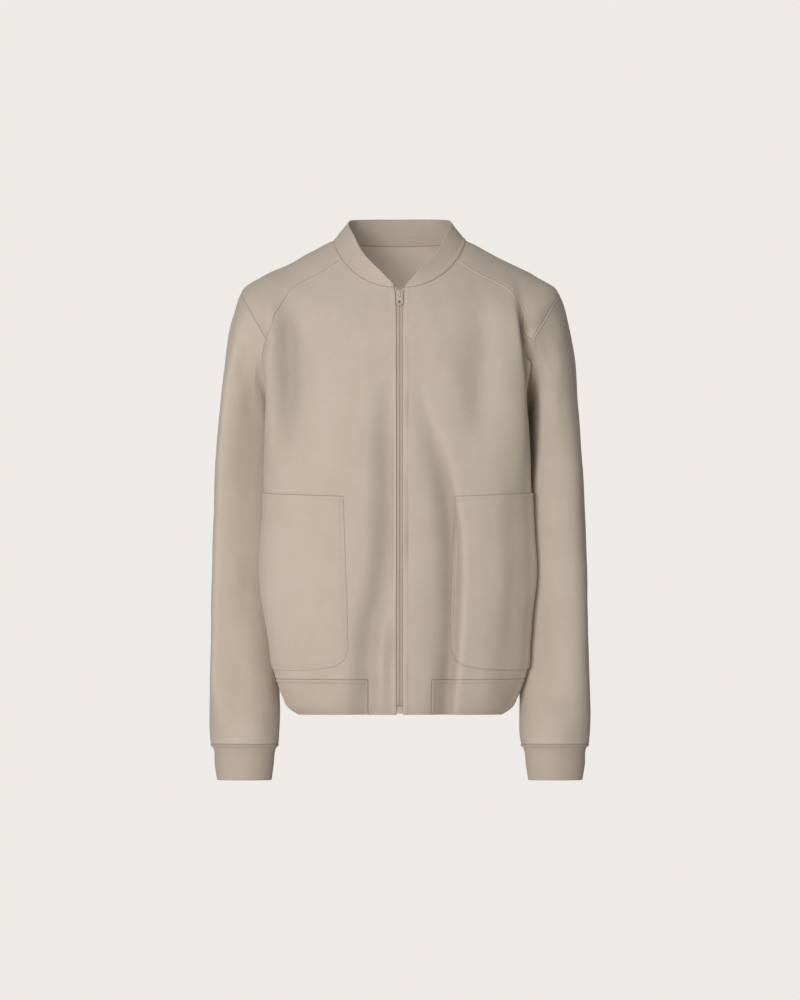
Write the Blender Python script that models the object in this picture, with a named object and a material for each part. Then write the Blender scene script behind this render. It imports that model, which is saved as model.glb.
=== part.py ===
"""Zip-up sweat jacket, hollow and filled out as if worn, in cut pieces of cloth.

Metres, +Z up, the front faces -Y. The origin is the middle of the neck base, level with
the points where the shoulder lines meet the neck. Names ending in _l are on -X.

The body is one form: rings that run from the centre front (u = 0) round the side to the
centre back (u = 1), stacked from the hem (v < 0) to the neck seam (v = 1). Each ring is
worked out from one row of sizes. The cut pieces are areas of that form, so neighbours share
the points along their seam; each piece is then drawn back by half of SEAM_GAP and thickened.
"""
import math

import bpy
import numpy as np
from mathutils import Vector
from mathutils.geometry import tessellate_polygon

# ---------------------------------------------------------------- sizes
CLOTH = 0.0020          # body and sleeve cloth
RIB = 0.0030            # collar and cuffs, cloth folded double
POCKET = 0.0016         # patch pocket cloth
SEAM_GAP = 0.0003       # space left between two pieces at a seam
FOLD_LEAST = 0.72       # a sharper fold than this cosine thickens the cloth no further
FOLD_ROOM = 5.0         # how much more a seam is drawn back where it folds
LIFT = 0.0004           # space between a pocket and the panel under it

# Rings of the body. half_l / half_r: widest half width on each side, at depth y_side.
# sq_*: below 1 is boxier than an ellipse. dent: how far the arm pushes the side in.
RING_COLUMNS = ("v", "z_front", "z_side", "z_back", "x_front", "half_l", "half_r",
                "y_front", "y_side", "y_back", "sq_front", "sq_back", "dent")
RINGS = (
    (-0.075, -0.6635, -0.6635, -0.6635, 0.0042, 0.1505, 0.1500, -0.096, -0.030, 0.100, 0.84, 0.80, 0.000),
    (-0.035, -0.6405, -0.6390, -0.6405, 0.0042, 0.1640, 0.1640, -0.104, -0.038, 0.110, 0.82, 0.76, 0.006),
    (0.000, -0.6143, -0.6133, -0.6143, 0.0042, 0.1735, 0.1750, -0.110, -0.044, 0.117, 0.80, 0.72, 0.016),
    (0.100, -0.5590, -0.5590, -0.5590, 0.0042, 0.1835, 0.1810, -0.117, -0.050, 0.123, 0.78, 0.68, 0.034),
    (0.250, -0.4700, -0.4700, -0.4700, 0.0042, 0.1940, 0.1890, -0.123, -0.054, 0.126, 0.77, 0.66, 0.042),
    (0.400, -0.3800, -0.3800, -0.3800, 0.0042, 0.1910, 0.1850, -0.126, -0.056, 0.126, 0.77, 0.66, 0.038),
    (0.520, -0.3090, -0.3090, -0.3090, 0.0042, 0.1905, 0.1830, -0.127, -0.058, 0.126, 0.78, 0.65, 0.034),
    (0.600, -0.2600, -0.2600, -0.2620, 0.0042, 0.1890, 0.1800, -0.126, -0.058, 0.125, 0.79, 0.63, 0.026),
    (0.680, -0.2080, -0.2000, -0.2100, 0.0042, 0.1875, 0.1790, -0.122, -0.050, 0.121, 0.83, 0.63, 0.018),
    (0.740, -0.1670, -0.1450, -0.1650, 0.0042, 0.1980, 0.1940, -0.1155, -0.030, 0.114, 0.89, 0.70, 0.007),
    (0.800, -0.1280, -0.0756, -0.1160, 0.0042, 0.2220, 0.2220, -0.107, 0.000, 0.103, 0.94, 0.86, 0.000),
    (0.850, -0.1030, -0.0512, -0.0840, 0.0044, 0.1905, 0.1905, -0.0995, 0.003, 0.092, 0.95, 0.93, 0.000),
    (0.900, -0.0870, -0.0360, -0.0550, 0.0056, 0.1610, 0.1610, -0.0930, 0.003, 0.082, 0.97, 0.95, 0.000),
    (0.950, -0.0755, -0.0180, -0.0290, 0.0060, 0.1260, 0.1260, -0.0880, 0.000, 0.072, 0.98, 0.97, 0.000),
    (1.000, -0.0658, 0.0000, -0.0070, 0.0078, 0.0920, 0.0920, -0.0840, 0.000, 0.062, 0.98, 0.98, 0.000),
)
RING_FALL = 1.35        # how the height runs from the side of a ring to its front and back
DENT_Y = 0.030          # depth of the arm's push, and its spread
DENT_SPREAD = 0.050

# Where the seams lie on the form.
V_HEM = -0.075          # lower edge of the hem
V_UNDERARM = 0.600
V_TIP = 0.753           # the yoke's front and back tips on the armhole
FRONT_EDGE = (          # v, u: side seam, armhole, then the yoke seam up to the neck
    (-0.075, 0.560), (0.000, 0.570), (0.250, 0.575), (0.600, 0.575), (0.620, 0.540),
    (0.660, 0.490), (0.700, 0.440), (0.730, 0.402), (0.753, 0.372), (0.770, 0.346),
    (0.790, 0.330), (0.810, 0.329), (0.838, 0.343), (0.867, 0.355), (0.902, 0.357),
    (0.945, 0.352), (1.000, 0.358))
BACK_EDGE = (           # v, u: side seam, armhole, then the back yoke seam up to the neck
    (-0.075, 0.560), (0.000, 0.570), (0.250, 0.575), (0.600, 0.575), (0.620, 0.605),
    (0.660, 0.640), (0.700, 0.655), (0.730, 0.652), (0.753, 0.642), (0.800, 0.665),
    (0.860, 0.668), (0.930, 0.664), (1.000, 0.655))
ARMHOLE_TOP = (         # fraction from the front tip to the back tip, u, v
    (0.00, 0.372, 0.753), (0.12, 0.382, 0.763), (0.26, 0.401, 0.778), (0.40, 0.434, 0.795),
    (0.53, 0.500, 0.803), (0.66, 0.560, 0.797), (0.80, 0.604, 0.782), (0.91, 0.628, 0.766),
    (1.00, 0.642, 0.753))
SHOULDER_AT = 0.53      # the shoulder line's place along that table
BAND_END_U = 0.0865     # the hem band stops here; the centre fronts run down beside it

# Rings of the sleeves: from the armhole (w = 0) to the cuff seam (w = 1) and the cuff's edge.
SLEEVE_COLUMNS = ("w", "x_out", "z_out", "x_in", "z_in", "y_front", "y_back")
SLEEVE_RINGS = (
    (0.000, 0.2220, -0.0756, 0.1560, -0.2600, -0.062, 0.072),
    (0.030, 0.2270, -0.0850, 0.1660, -0.2630, -0.056, 0.082),
    (0.090, 0.2360, -0.1180, 0.1670, -0.2830, -0.044, 0.098),
    (0.170, 0.2440, -0.1660, 0.1610, -0.3180, -0.031, 0.109),
    (0.270, 0.2500, -0.2300, 0.1600, -0.3600, -0.023, 0.115),
    (0.420, 0.2565, -0.3280, 0.1610, -0.4200, -0.021, 0.112),
    (0.580, 0.2610, -0.4350, 0.1645, -0.4900, -0.023, 0.101),
    (0.740, 0.2645, -0.5380, 0.1680, -0.5600, -0.030, 0.085),
    (0.880, 0.2658, -0.6280, 0.1695, -0.6330, -0.038, 0.067),
    (0.960, 0.2662, -0.6850, 0.1695, -0.6850, -0.042, 0.053),
    (1.000, 0.2645, -0.7055, 0.1710, -0.7055, -0.041, 0.045),
)
CUFF_RINGS = (
    (0.000, 0.2645, -0.7055, 0.1710, -0.7055, -0.041, 0.045),
    (0.120, 0.2605, -0.7110, 0.1745, -0.7110, -0.037, 0.041),
    (0.500, 0.2580, -0.7340, 0.1775, -0.7340, -0.034, 0.038),
    (1.000, 0.2545, -0.7565, 0.1808, -0.7565, -0.031, 0.035),
)
HEAD_FADE = 0.34        # the armhole's own shape has died out by this part of the sleeve
ROW_CROWD = 1.22        # over 1 sets the sleeve's rows closer together towards the armhole
CUFF_ROWS = (0.0, 0.12, 0.42, 0.72, 1.0)

COLLAR_TOP = (          # u round the neck, x, y, z of the collar's upper edge
    (0.000, 0.0096, -0.0850, -0.0610), (0.060, 0.0155, -0.0830, -0.0550),
    (0.140, 0.0260, -0.0785, -0.0435), (0.240, 0.0385, -0.0685, -0.0315),
    (0.340, 0.0535, -0.0520, -0.0135), (0.430, 0.0645, -0.0310, 0.0085),
    (0.500, 0.0712, -0.0060, 0.0245), (0.560, 0.0700, 0.0120, 0.0295),
    (0.680, 0.0600, 0.0370, 0.0310), (0.820, 0.0370, 0.0530, 0.0312),
    (1.000, 0.0000, 0.0590, 0.0312))
COLLAR_BULGE = 0.0015

POCKET_OUTLINE = (      # u, v of the corners, the lower inner one rounded
    (0.4300, 0.4460), (0.1415, 0.4375), (0.1320, 0.2330), (0.1350, 0.0900), (0.1400, 0.0640),
    (0.1510, 0.0450), (0.1690, 0.0330), (0.2000, 0.0250), (0.2500, 0.0205), (0.3500, 0.0200),
    (0.4300, 0.0330))

# Zip
CHAIN_HALF = 0.0030     # half width of the closed chain
CHAIN_THICK = 0.0022
TAPE_THICK = 0.0008
TAPE_IN = 0.0033        # tape's inner edge, from the middle
TAPE_WIDE = 0.0093      # how far the tape goes under the front, from its edge
TAPE_DEPTH = 0.0019     # the zip's middle plane, behind the front panels' middle
TAPE_SPREAD = 1.15      # how much faster than the fronts' edges the tapes part above the slider
ZIP_BOTTOM_Z = -0.6625
RISE = 0.93             # height gained for each length of the zip where it leans at the neck
CHAIN_GAP = 0.0003      # between the chain and what it runs in or ends at
CHAIN_IN_SLIDER = 0.0058
SLIDER_TOP_Z = -0.0700
SLIDER_LONG = 0.0150
SLIDER_WIDE = 0.0100
BOX_LONG = 0.0110
BOX_WIDE = 0.0078
BOX_THICK = 0.0034
PLATE = 0.0014          # the slider's plates
FLANGE = 0.0012         # width of the plates' turned-in sides
POST_HALF = 0.0009
BRIDGE_LONG = 0.0084
BRIDGE_WIDE = 0.0022
BRIDGE_HIGH = 0.0034
PIN_HIGH = 0.0014       # the pull's cross bar above the front plate
PULL_THICK = 0.0013
PULL_LONG = 0.0165
OPEN_CHAIN = (          # z, inner and outer x of each half of the chain above the slider's throat
    (-0.0777, 0.00015, 0.0028), (-0.0750, 0.0012, 0.0034), (-0.0722, 0.0013, 0.0035),
    (-0.0695, 0.0019, 0.0043), (-0.0664, 0.0030, 0.0054))

# Counts: how finely each piece is divided
ROWS_HEM = 2
ROWS_SIDE = 10
ROWS_ARM = 5
ROWS_YOKE = 6
COLS_FRONT = 10
COLS_BACK = 16
COLS_TOP = 10
ROWS_SLEEVE = 15
ROWS_COLLAR = 3

# ---------------------------------------------------------------- the form
RING_TABLE = np.array(RINGS)
QUARTER = np.linspace(0.0, math.pi / 2, 61)


def smooth_rows(table, t, tight=False):
    """Values of a table's rows (first column the parameter) at t, on a smooth curve.

    A tight curve never swings past its rows.
    """
    table = np.asarray(table, float)
    knots, values = table[:, 0], table[:, 1:]
    t = np.clip(np.atleast_1d(np.asarray(t, float)), knots[0], knots[-1])
    step = np.diff(knots)
    slope = np.diff(values, axis=0) / step[:, None]
    tangent = np.empty_like(values)
    tangent[0], tangent[-1] = slope[0], slope[-1]
    before, after = step[:-1, None], step[1:, None]
    tangent[1:-1] = (slope[:-1] * after + slope[1:] * before) / (before + after)
    if tight:
        same = slope[:-1] * slope[1:] > 0
        least = np.minimum(np.abs(slope[:-1]), np.abs(slope[1:])) * 2.0
        held = np.sign(tangent[1:-1]) * np.minimum(np.abs(tangent[1:-1]), least)
        tangent[1:-1] = np.where(same, held, 0.0)
    i = np.clip(np.searchsorted(knots, t, side="right") - 1, 0, len(knots) - 2)
    s = ((t - knots[i]) / step[i])[:, None]
    h = step[i][:, None]
    return ((2 * s**3 - 3 * s**2 + 1) * values[i] + (s**3 - 2 * s**2 + s) * h * tangent[i]
            + (3 * s**2 - 2 * s**3) * values[i + 1] + (s**3 - s**2) * h * tangent[i + 1])


def ring_line(v, side):
    """Points of half a ring from the centre front to the centre back, x positive."""
    row = smooth_rows(RING_TABLE, v)[0]
    zf, zs, zb, x0, half_l, half_r, yf, ys, yb, qf, qb, dent = row
    half = half_r if side > 0 else half_l
    s, c = np.sin(QUARTER), np.maximum(np.cos(QUARTER), 0.0)
    front = np.stack([x0 + (half - x0) * s**qf, ys + (yf - ys) * c**qf,
                      zs + (zf - zs) * c**RING_FALL], 1)
    behind = half_r + (half - half_r) * c**6
    back = np.stack([behind * c**qb, ys + (yb - ys) * s**qb, zs + (zb - zs) * s**RING_FALL], 1)
    line = np.concatenate([front, back[1:]])
    line[:, 0] -= dent * np.exp(-((line[:, 1] - DENT_Y) / DENT_SPREAD)**2)
    return line


def body_point(u, v, side):
    """A point of the body's form; side is 1 for +X and -1 for -X."""
    line = ring_line(v, side)
    run = np.concatenate([[0.0], np.cumsum(np.linalg.norm(np.diff(line, axis=0), axis=1))])
    point = np.array([np.interp(u * run[-1], run, line[:, k]) for k in range(3)])
    point[0] *= side
    return point


def oval(row, angle):
    """A point of a sleeve's ring; angle 0 is the outer side and 90 degrees the front."""
    x_out, z_out, x_in, z_in, y_front, y_back = row
    along = math.cos(angle)
    return np.array([(x_out + x_in) / 2 + (x_out - x_in) / 2 * along,
                     (y_front + y_back) / 2 + (y_front - y_back) / 2 * math.sin(angle),
                     (z_out + z_in) / 2 + (z_out - z_in) / 2 * along])


# ---------------------------------------------------------------- cloth from shared points
class Cloth:
    """All the pieces of cloth, over one set of shared points."""

    def __init__(self):
        self.points = []
        self.index = {}
        self.pieces = {}

    def add_point(self, point):
        key = tuple(int(round(c * 1e6)) for c in point)
        if key not in self.index:
            self.index[key] = len(self.points)
            self.points.append(np.array(point, float))
        return self.index[key]

    def add_grid(self, name, grid, flip, closed=False, keep=None):
        """A piece from a grid of points, [row][column]; keep says which cells belong."""
        ids = [[self.add_point(p) for p in row] for row in grid]
        faces = self.pieces.setdefault(name, [])
        for i in range(len(ids) - 1):
            count = len(ids[i]) if closed else len(ids[i]) - 1
            for j in range(count):
                if keep is not None and not keep(i, j):
                    continue
                k = (j + 1) % len(ids[i])
                a, b, c, d = ids[i][j], ids[i][k], ids[i + 1][k], ids[i + 1][j]
                for tri in ((a, b, c), (a, c, d)):
                    if len(set(tri)) == 3:
                        faces.append(tri[::-1] if flip else tri)
        return ids

    def normals(self):
        """One outward push a point, longer where a seam folds, and its extra room there."""
        points = np.array(self.points)
        total = np.zeros_like(points)
        every = np.array([t for faces in self.pieces.values() for t in faces])
        corners = points[every]
        face = np.cross(corners[:, 1] - corners[:, 0], corners[:, 2] - corners[:, 0])
        face /= np.linalg.norm(face, axis=1)[:, None]
        for k in range(3):
            one = corners[:, (k + 1) % 3] - corners[:, k]
            two = corners[:, (k + 2) % 3] - corners[:, k]
            cosine = (one * two).sum(1) / np.linalg.norm(one, axis=1) / np.linalg.norm(two, axis=1)
            angle = np.arccos(np.clip(cosine, -1, 1))
            np.add.at(total, every[:, k], face * angle[:, None])
        total /= np.linalg.norm(total, axis=1)[:, None]
        least = np.ones(len(points))
        for k in range(3):
            np.minimum.at(least, every[:, k], (total[every[:, k]] * face).sum(1))
        room = np.clip((1.0 + FOLD_ROOM) / least - FOLD_ROOM, 1.0, 8.0)
        return points, total / np.clip(least, FOLD_LEAST, 1.0)[:, None], room


def boundary(faces):
    """Directed edges of a piece that only one of its facets has."""
    edges = {(t[k], t[(k + 1) % 3]) for t in faces for k in range(3)}
    return [e for e in edges if (e[1], e[0]) not in edges]


def drawn_back(points, push, room, faces, amount):
    """Points of a piece with its edge drawn back by an amount within the cloth."""
    moved = {}
    inward = {}
    for a, b in boundary(faces):
        along = points[b] - points[a]
        for end in (a, b):
            side = np.cross(push[end], along)
            inward.setdefault(end, []).append(side / np.linalg.norm(side))
    for vertex, sides in inward.items():
        mean = sum(sides)
        mean = mean / np.linalg.norm(mean)
        reach = min(max(float(np.dot(mean, s)), 0.30) for s in sides)
        moved[vertex] = points[vertex] + mean * amount * room[vertex] / reach
    return moved


def thick_piece(points, push, room, faces, thick, amount):
    """Vertices and facets of a closed shell about a piece, its edge drawn back."""
    moved = drawn_back(points, push, room, faces, amount)
    used = sorted({v for t in faces for v in t})
    place = {v: n for n, v in enumerate(used)}
    base = np.array([moved.get(v, points[v]) for v in used])
    count = len(used)
    tris = [tuple(place[v] for v in t) for t in faces]
    tris += [tuple(place[v] + count for v in reversed(t)) for t in faces]
    for a, b in boundary(faces):
        a, b = place[a], place[b]
        tris += [(b, a, a + count), (b, a + count, b + count)]
    return np.concatenate([base + push[used] * thick / 2, base - push[used] * thick / 2]), tris


# ---------------------------------------------------------------- materials and objects
SURFACES = {            # colour (linear), roughness, metallic
    "cloth": ((0.545, 0.462, 0.381), 0.90, 0.0),
    "rib": ((0.490, 0.408, 0.333), 0.90, 0.0),
    "zip_tape": ((0.420, 0.345, 0.280), 0.85, 0.0),
    "zip_chain": ((0.470, 0.400, 0.330), 0.55, 0.0),
    "zip_metal": ((0.360, 0.310, 0.265), 0.38, 1.0),
}


def material(name, surface):
    colour, rough, metal = SURFACES[surface]
    made = bpy.data.materials.new(name)
    made.use_nodes = True
    shader = made.node_tree.nodes["Principled BSDF"]
    shader.inputs["Base Color"].default_value = (*colour, 1.0)
    shader.inputs["Roughness"].default_value = rough
    shader.inputs["Metallic"].default_value = metal
    return made


def add_object(name, verts, tris, surface, smooth=True):
    mesh = bpy.data.meshes.new(name)
    mesh.from_pydata([tuple(float(c) for c in v) for v in verts], [], [tuple(t) for t in tris])
    mesh.validate()
    mesh.update()
    obj = bpy.data.objects.new(name, mesh)
    bpy.context.scene.collection.objects.link(obj)
    obj.data.materials.append(material(name, surface))
    if smooth:
        obj.data.shade_smooth()
    return obj


# ---------------------------------------------------------------- stations shared by the pieces
HEM_V = np.linspace(V_HEM, 0.0, ROWS_HEM + 1)
SIDE_V = np.linspace(0.0, V_UNDERARM, ROWS_SIDE + 1)
ARM_V = np.array([V_UNDERARM, 0.622, 0.655, 0.690, 0.724, V_TIP])
YOKE_V = np.array([V_TIP, 0.775, 0.806, 0.845, 0.893, 0.945, 1.0])
BODY_V = np.concatenate([HEM_V[:-1], SIDE_V[:-1], ARM_V[:-1], YOKE_V])
FRONT_S = np.concatenate([[0.0], np.linspace(BAND_END_U / 0.57, 1.0, COLS_FRONT)])
ROW_ZERO = ROWS_HEM


def front_u(v):
    return float(smooth_rows(FRONT_EDGE, v, tight=True)[0][0])


def back_u(v):
    return float(smooth_rows(BACK_EDGE, v, tight=True)[0][0])


def front_grid(side):
    grid = []
    for v in BODY_V:
        edge = front_u(v)
        grid.append([body_point(s * edge, v, side) for s in FRONT_S])
    return grid


def back_grid():
    """Rows from the -X edge round the back to the +X edge."""
    grid = []
    half = COLS_BACK // 2
    for v in BODY_V:
        edge = back_u(v)
        us = [edge + (1.0 - edge) * k / half for k in range(half + 1)]
        left = [body_point(u, v, -1) for u in us]
        right = [body_point(u, v, 1) for u in us[:-1]]
        grid.append(left + right[::-1])
    return grid


def yoke_grid(side):
    """Rows from the armhole to the neck; columns from the front seam to the back seam."""
    rows, cols = len(YOKE_V) - 1, COLS_TOP
    front = np.array([(front_u(v), v) for v in YOKE_V])
    back = np.array([(back_u(v), v) for v in YOKE_V])
    arm = np.array([smooth_rows(ARMHOLE_TOP, j / cols)[0] for j in range(cols + 1)])
    neck = np.array([(front[-1][0] + (back[-1][0] - front[-1][0]) * j / cols, 1.0)
                     for j in range(cols + 1)])
    arm[0], arm[-1] = front[0], back[0]
    grid = []
    for i in range(rows + 1):
        a = i / rows
        line = []
        for j in range(cols + 1):
            b = j / cols
            mixed = ((1 - b) * front[i] + b * back[i] + (1 - a) * arm[j] + a * neck[j]
                     - (1 - a) * (1 - b) * arm[0] - (1 - a) * b * arm[-1]
                     - a * (1 - b) * neck[0] - a * b * neck[-1])
            line.append(body_point(mixed[0], mixed[1], side))
        grid.append(line)
    return grid


def armhole_loop(front, yoke, back_line, side):
    """Points round the armhole from the underarm up the front, over and down the back."""
    low = ROWS_HEM + ROWS_SIDE
    loop = [front[low + k][-1] for k in range(ROWS_ARM)]
    loop += list(yoke[0])
    loop += [back_line[low + k] for k in range(ROWS_ARM - 1, 0, -1)]
    return np.array(loop)


def loop_angles(loop, top):
    """An angle for each point of an armhole, 0 at the shoulder and 180 at the underarm."""
    count = len(loop)
    closed = np.concatenate([loop, loop[:1]])
    run = np.concatenate([[0.0], np.cumsum(np.linalg.norm(np.diff(closed, axis=0), axis=1))])
    angles = []
    for k in range(count):
        if k <= top:
            angles.append(math.pi * (1 - run[k] / run[top]))
        else:
            angles.append(-math.pi * (run[k] - run[top]) / (run[-1] - run[top]))
    return angles


def sleeve_grid(loop, angles, side):
    mirror = np.array([side, 1.0, 1.0])
    first = smooth_rows(SLEEVE_RINGS, 0.0)[0]
    spare = [loop[k] - oval(first, a) * mirror for k, a in enumerate(angles)]
    ws = [(k / ROWS_SLEEVE)**ROW_CROWD for k in range(ROWS_SLEEVE + 1)]
    grid = []
    for w in ws:
        row = smooth_rows(SLEEVE_RINGS, w)[0]
        fade = max(0.0, 1.0 - w / HEAD_FADE)**2 if w > 0 else 1.0
        grid.append([oval(row, a) * mirror + spare[k] * fade for k, a in enumerate(angles)])
    return grid


def cuff_grid(angles, side):
    mirror = np.array([side, 1.0, 1.0])
    grid = []
    for w in CUFF_ROWS:
        row = smooth_rows(CUFF_RINGS, w)[0]
        grid.append([oval(row, a) * mirror for a in angles])
    return grid


def collar_grid(neck_us, side):
    """Rows from the neck seam to the upper edge for one half; columns follow neck_us."""
    grid = []
    for r in range(ROWS_COLLAR + 1):
        t = r / ROWS_COLLAR
        line = []
        for u in neck_us:
            base = body_point(u, 1.0, side)
            top = smooth_rows(COLLAR_TOP, u)[0] * np.array([side, 1.0, 1.0])
            point = base + (top - base) * t
            out = np.array([point[0], point[1], 0.0])
            out /= np.linalg.norm(out)
            line.append(point + out * COLLAR_BULGE * math.sin(math.pi * t))
        grid.append(line)
    return grid


# ---------------------------------------------------------------- pocket: part of a panel, lifted
def clip(polygon, a, b):
    """Part of a polygon of (uv, weights) on the left of the line a to b."""
    kept = []
    for k, (uv, w) in enumerate(polygon):
        uv2, w2 = polygon[(k + 1) % len(polygon)]
        d1 = (b[0] - a[0]) * (uv[1] - a[1]) - (b[1] - a[1]) * (uv[0] - a[0])
        d2 = (b[0] - a[0]) * (uv2[1] - a[1]) - (b[1] - a[1]) * (uv2[0] - a[0])
        if d1 >= 0:
            kept.append((uv, w))
        if (d1 > 1e-12 and d2 < -1e-12) or (d1 < -1e-12 and d2 > 1e-12):
            f = d1 / (d1 - d2)
            kept.append((uv + (uv2 - uv) * f, w + (w2 - w) * f))
    return kept


def cut_from(cells, outline, points, push):
    """Facets of a panel inside a convex outline, as points with their push directions."""
    verts, pushes, tris, place = [], [], [], {}
    for ids, uvs in cells:
        polygon = [(np.array(uvs[k]), np.eye(3)[k]) for k in range(3)]
        for k in range(len(outline)):
            if len(polygon) < 3:
                break
            polygon = clip(polygon, outline[k], outline[(k + 1) % len(outline)])
        if len(polygon) < 3:
            continue
        corner = []
        for uv, w in polygon:
            key = (int(round(uv[0] * 1e5)), int(round(uv[1] * 1e5)))
            if key not in place:
                place[key] = len(verts)
                verts.append(sum(w[k] * points[ids[k]] for k in range(3)))
                pushes.append(sum(w[k] * push[ids[k]] for k in range(3)))
            if place[key] not in corner:
                corner.append(place[key])
        for k in range(1, len(corner) - 1):
            tris.append((corner[0], corner[k], corner[k + 1]))
    return np.array(verts), np.array(pushes), tris


def closed_layer(verts, pushes, tris, low, high):
    """A closed shell between two distances along the push directions."""
    count = len(verts)
    shell = [tuple(t) for t in tris]
    shell += [tuple(v + count for v in reversed(t)) for t in tris]
    for a, b in boundary(tris):
        shell += [(b, a, a + count), (b, a + count, b + count)]
    return np.concatenate([verts + pushes * high, verts + pushes * low]), shell


# ---------------------------------------------------------------- zip
def front_line(v):
    """Middle of the opening at height v and the direction out of the cloth there."""
    here = body_point(0.0, v, 1)
    up = body_point(0.0, min(v + 0.004, 1.0), 1) - body_point(0.0, max(v - 0.004, V_HEM), 1)
    up[0] = 0.0
    up /= np.linalg.norm(up)
    out = np.cross(np.array([1.0, 0.0, 0.0]), up)
    out = out if out[1] < 0 else -out
    here[0] = 0.0
    return here, up, out


def v_at_z(z):
    """Height parameter at which the centre front has this z."""
    vs = np.linspace(V_HEM, 1.0, 600)
    zs = smooth_rows(RING_TABLE, vs)[:, 0]
    return float(np.interp(z, zs, vs))


def strip(name, stations, surface, back):
    """A bar through stations of (v, x_inner, x_outer), between two distances from the middle."""
    low, high = back
    verts, tris = [], []
    for v, xa, xb in stations:
        here, _up, out = front_line(v)
        for x in (xa, xb):
            for depth in (high, low):
                verts.append(here + np.array([x, 0.0, 0.0]) + out * depth)
    n = len(stations)
    order = (0, 2, 3, 1)
    for k in range(n - 1):
        for j in range(4):
            a, b = k * 4 + order[j], k * 4 + order[(j + 1) % 4]
            tris += [(a, b, b + 4), (a, b + 4, a + 4)]
    first = [order[j] for j in range(4)]
    last = [(n - 1) * 4 + order[j] for j in range(4)]
    tris += [(first[0], first[2], first[1]), (first[0], first[3], first[2])]
    tris += [(last[0], last[1], last[2]), (last[0], last[2], last[3])]
    if stations[0][1] > stations[0][2]:
        tris = [t[::-1] for t in tris]
    return add_object(name, verts, tris, surface, smooth=False)


def slab_between(inner, outer, low, high):
    """Closed ring or plate between matching loops of (x, along) points."""
    verts, tris = [], []
    count = len(outer)
    if inner is None:
        verts = [(x, t, low) for x, t in outer] + [(x, t, high) for x, t in outer]
        for k in range(count):
            m = (k + 1) % count
            tris += [(k, m, m + count), (k, m + count, k + count)]
        tris += [(0, m + 1, m) for m in range(1, count - 1)]
        tris += [(count, count + m, count + m + 1) for m in range(1, count - 1)]
        return verts, tris
    for loop, h in ((outer, low), (outer, high), (inner, high), (inner, low)):
        verts += [(x, t, h) for x, t in loop]
    for k in range(count):
        m = (k + 1) % count
        for r in range(4):
            a, b = r * count, ((r + 1) % 4) * count
            tris += [(a + k, a + m, b + m), (a + k, b + m, b + k)]
    return verts, tris


def rounded_rect(wide, long, radius, steps=4):
    """Counter-clockwise loop of (x, along) about the middle."""
    loop = []
    for cx, cy, start in ((1, -1, -90), (1, 1, 0), (-1, 1, 90), (-1, -1, 180)):
        for k in range(steps + 1):
            a = math.radians(start + 90 * k / steps)
            loop.append((cx * (wide / 2 - radius) + radius * math.cos(a),
                         cy * (long / 2 - radius) + radius * math.sin(a)))
    return loop


def box_mesh(x0, x1, t0, t1, n0, n1):
    loop = [(x0, t0), (x1, t0), (x1, t1), (x0, t1)]
    return slab_between(None, loop, n0, n1)


def join_parts(name, parts, surface, frame):
    """One body from overlapping closed parts given as (x, along, out) about a frame.

    The object's origin is the frame's.
    """
    origin, up, out = frame
    across = np.array([1.0, 0.0, 0.0])
    flip = np.dot(np.cross(across, up), out) < 0
    made = []
    for n, (verts, tris) in enumerate(parts):
        placed = [across * x + up * t + out * h for x, t, h in verts]
        faces = [t[::-1] for t in tris] if flip else tris
        made.append(add_object(name if n == 0 else name + "_piece%d" % n, placed, faces, surface, False))
    body = made[0]
    for other in made[1:]:
        step = body.modifiers.new("join", "BOOLEAN")
        step.operation = "UNION"
        step.solver = "EXACT"
        step.object = other
        bpy.context.view_layer.update()
        graph = bpy.context.evaluated_depsgraph_get()
        mesh = bpy.data.meshes.new_from_object(body.evaluated_get(graph))
        body.modifiers.clear()
        body.data = mesh
        bpy.data.objects.remove(other, do_unlink=True)
    body.data.name = name
    if not body.data.materials:
        body.data.materials.append(material(name, surface))
    body.location = origin
    return body


def slider_frame():
    v = v_at_z(SLIDER_TOP_Z - SLIDER_LONG / 2 * RISE)
    here, up, out = front_line(v)
    return here - out * TAPE_DEPTH, up, out


def build_slider():
    """Two plates on a post, turned in along both sides, with the bridge the pull hangs on."""
    half_long = SLIDER_LONG / 2
    face = CHAIN_THICK / 2 + CHAIN_GAP
    wide = SLIDER_WIDE / 2
    plate = rounded_rect(SLIDER_WIDE, SLIDER_LONG, 0.0022)
    parts = [slab_between(None, plate, face, face + PLATE),
             slab_between(None, plate, -face - PLATE, -face)]
    for sign in (-1, 1):
        x0, x1 = sorted((sign * (wide - FLANGE), sign * (wide - 0.0001)))
        for n0, n1 in ((face - 0.0004, face + PLATE / 2), (-face - PLATE / 2, -face + 0.0004)):
            parts.append(box_mesh(x0, x1, 0.0024 - half_long, half_long - 0.0030, n0, n1))
    parts.append(box_mesh(-POST_HALF, POST_HALF, half_long - 0.0046, half_long - 0.0010,
                          -face - PLATE / 3, face + PLATE / 3))
    low, top = face + PLATE * 0.6, face + PLATE + BRIDGE_HIGH
    half, foot, roof = BRIDGE_LONG / 2, 0.0014, 0.0008
    arch = [(-half, low), (foot - half, low), (foot - half, top - roof), (half - foot, top - roof),
            (half - foot, low), (half, low), (half, top - 0.0010), (half - 0.0010, top),
            (0.0010 - half, top), (-half, top - 0.0010)]
    verts, tris = plate_with_holes(arch, [], -BRIDGE_WIDE / 2, BRIDGE_WIDE / 2)
    parts.append(([(x, t, n) for t, n, x in verts], tris))
    return join_parts("zip_slider", parts, "zip_metal", slider_frame())


def pull_pivot():
    origin, up, out = slider_frame()
    return origin + out * (CHAIN_THICK / 2 + CHAIN_GAP + PLATE + PIN_HIGH), up, out


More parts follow.
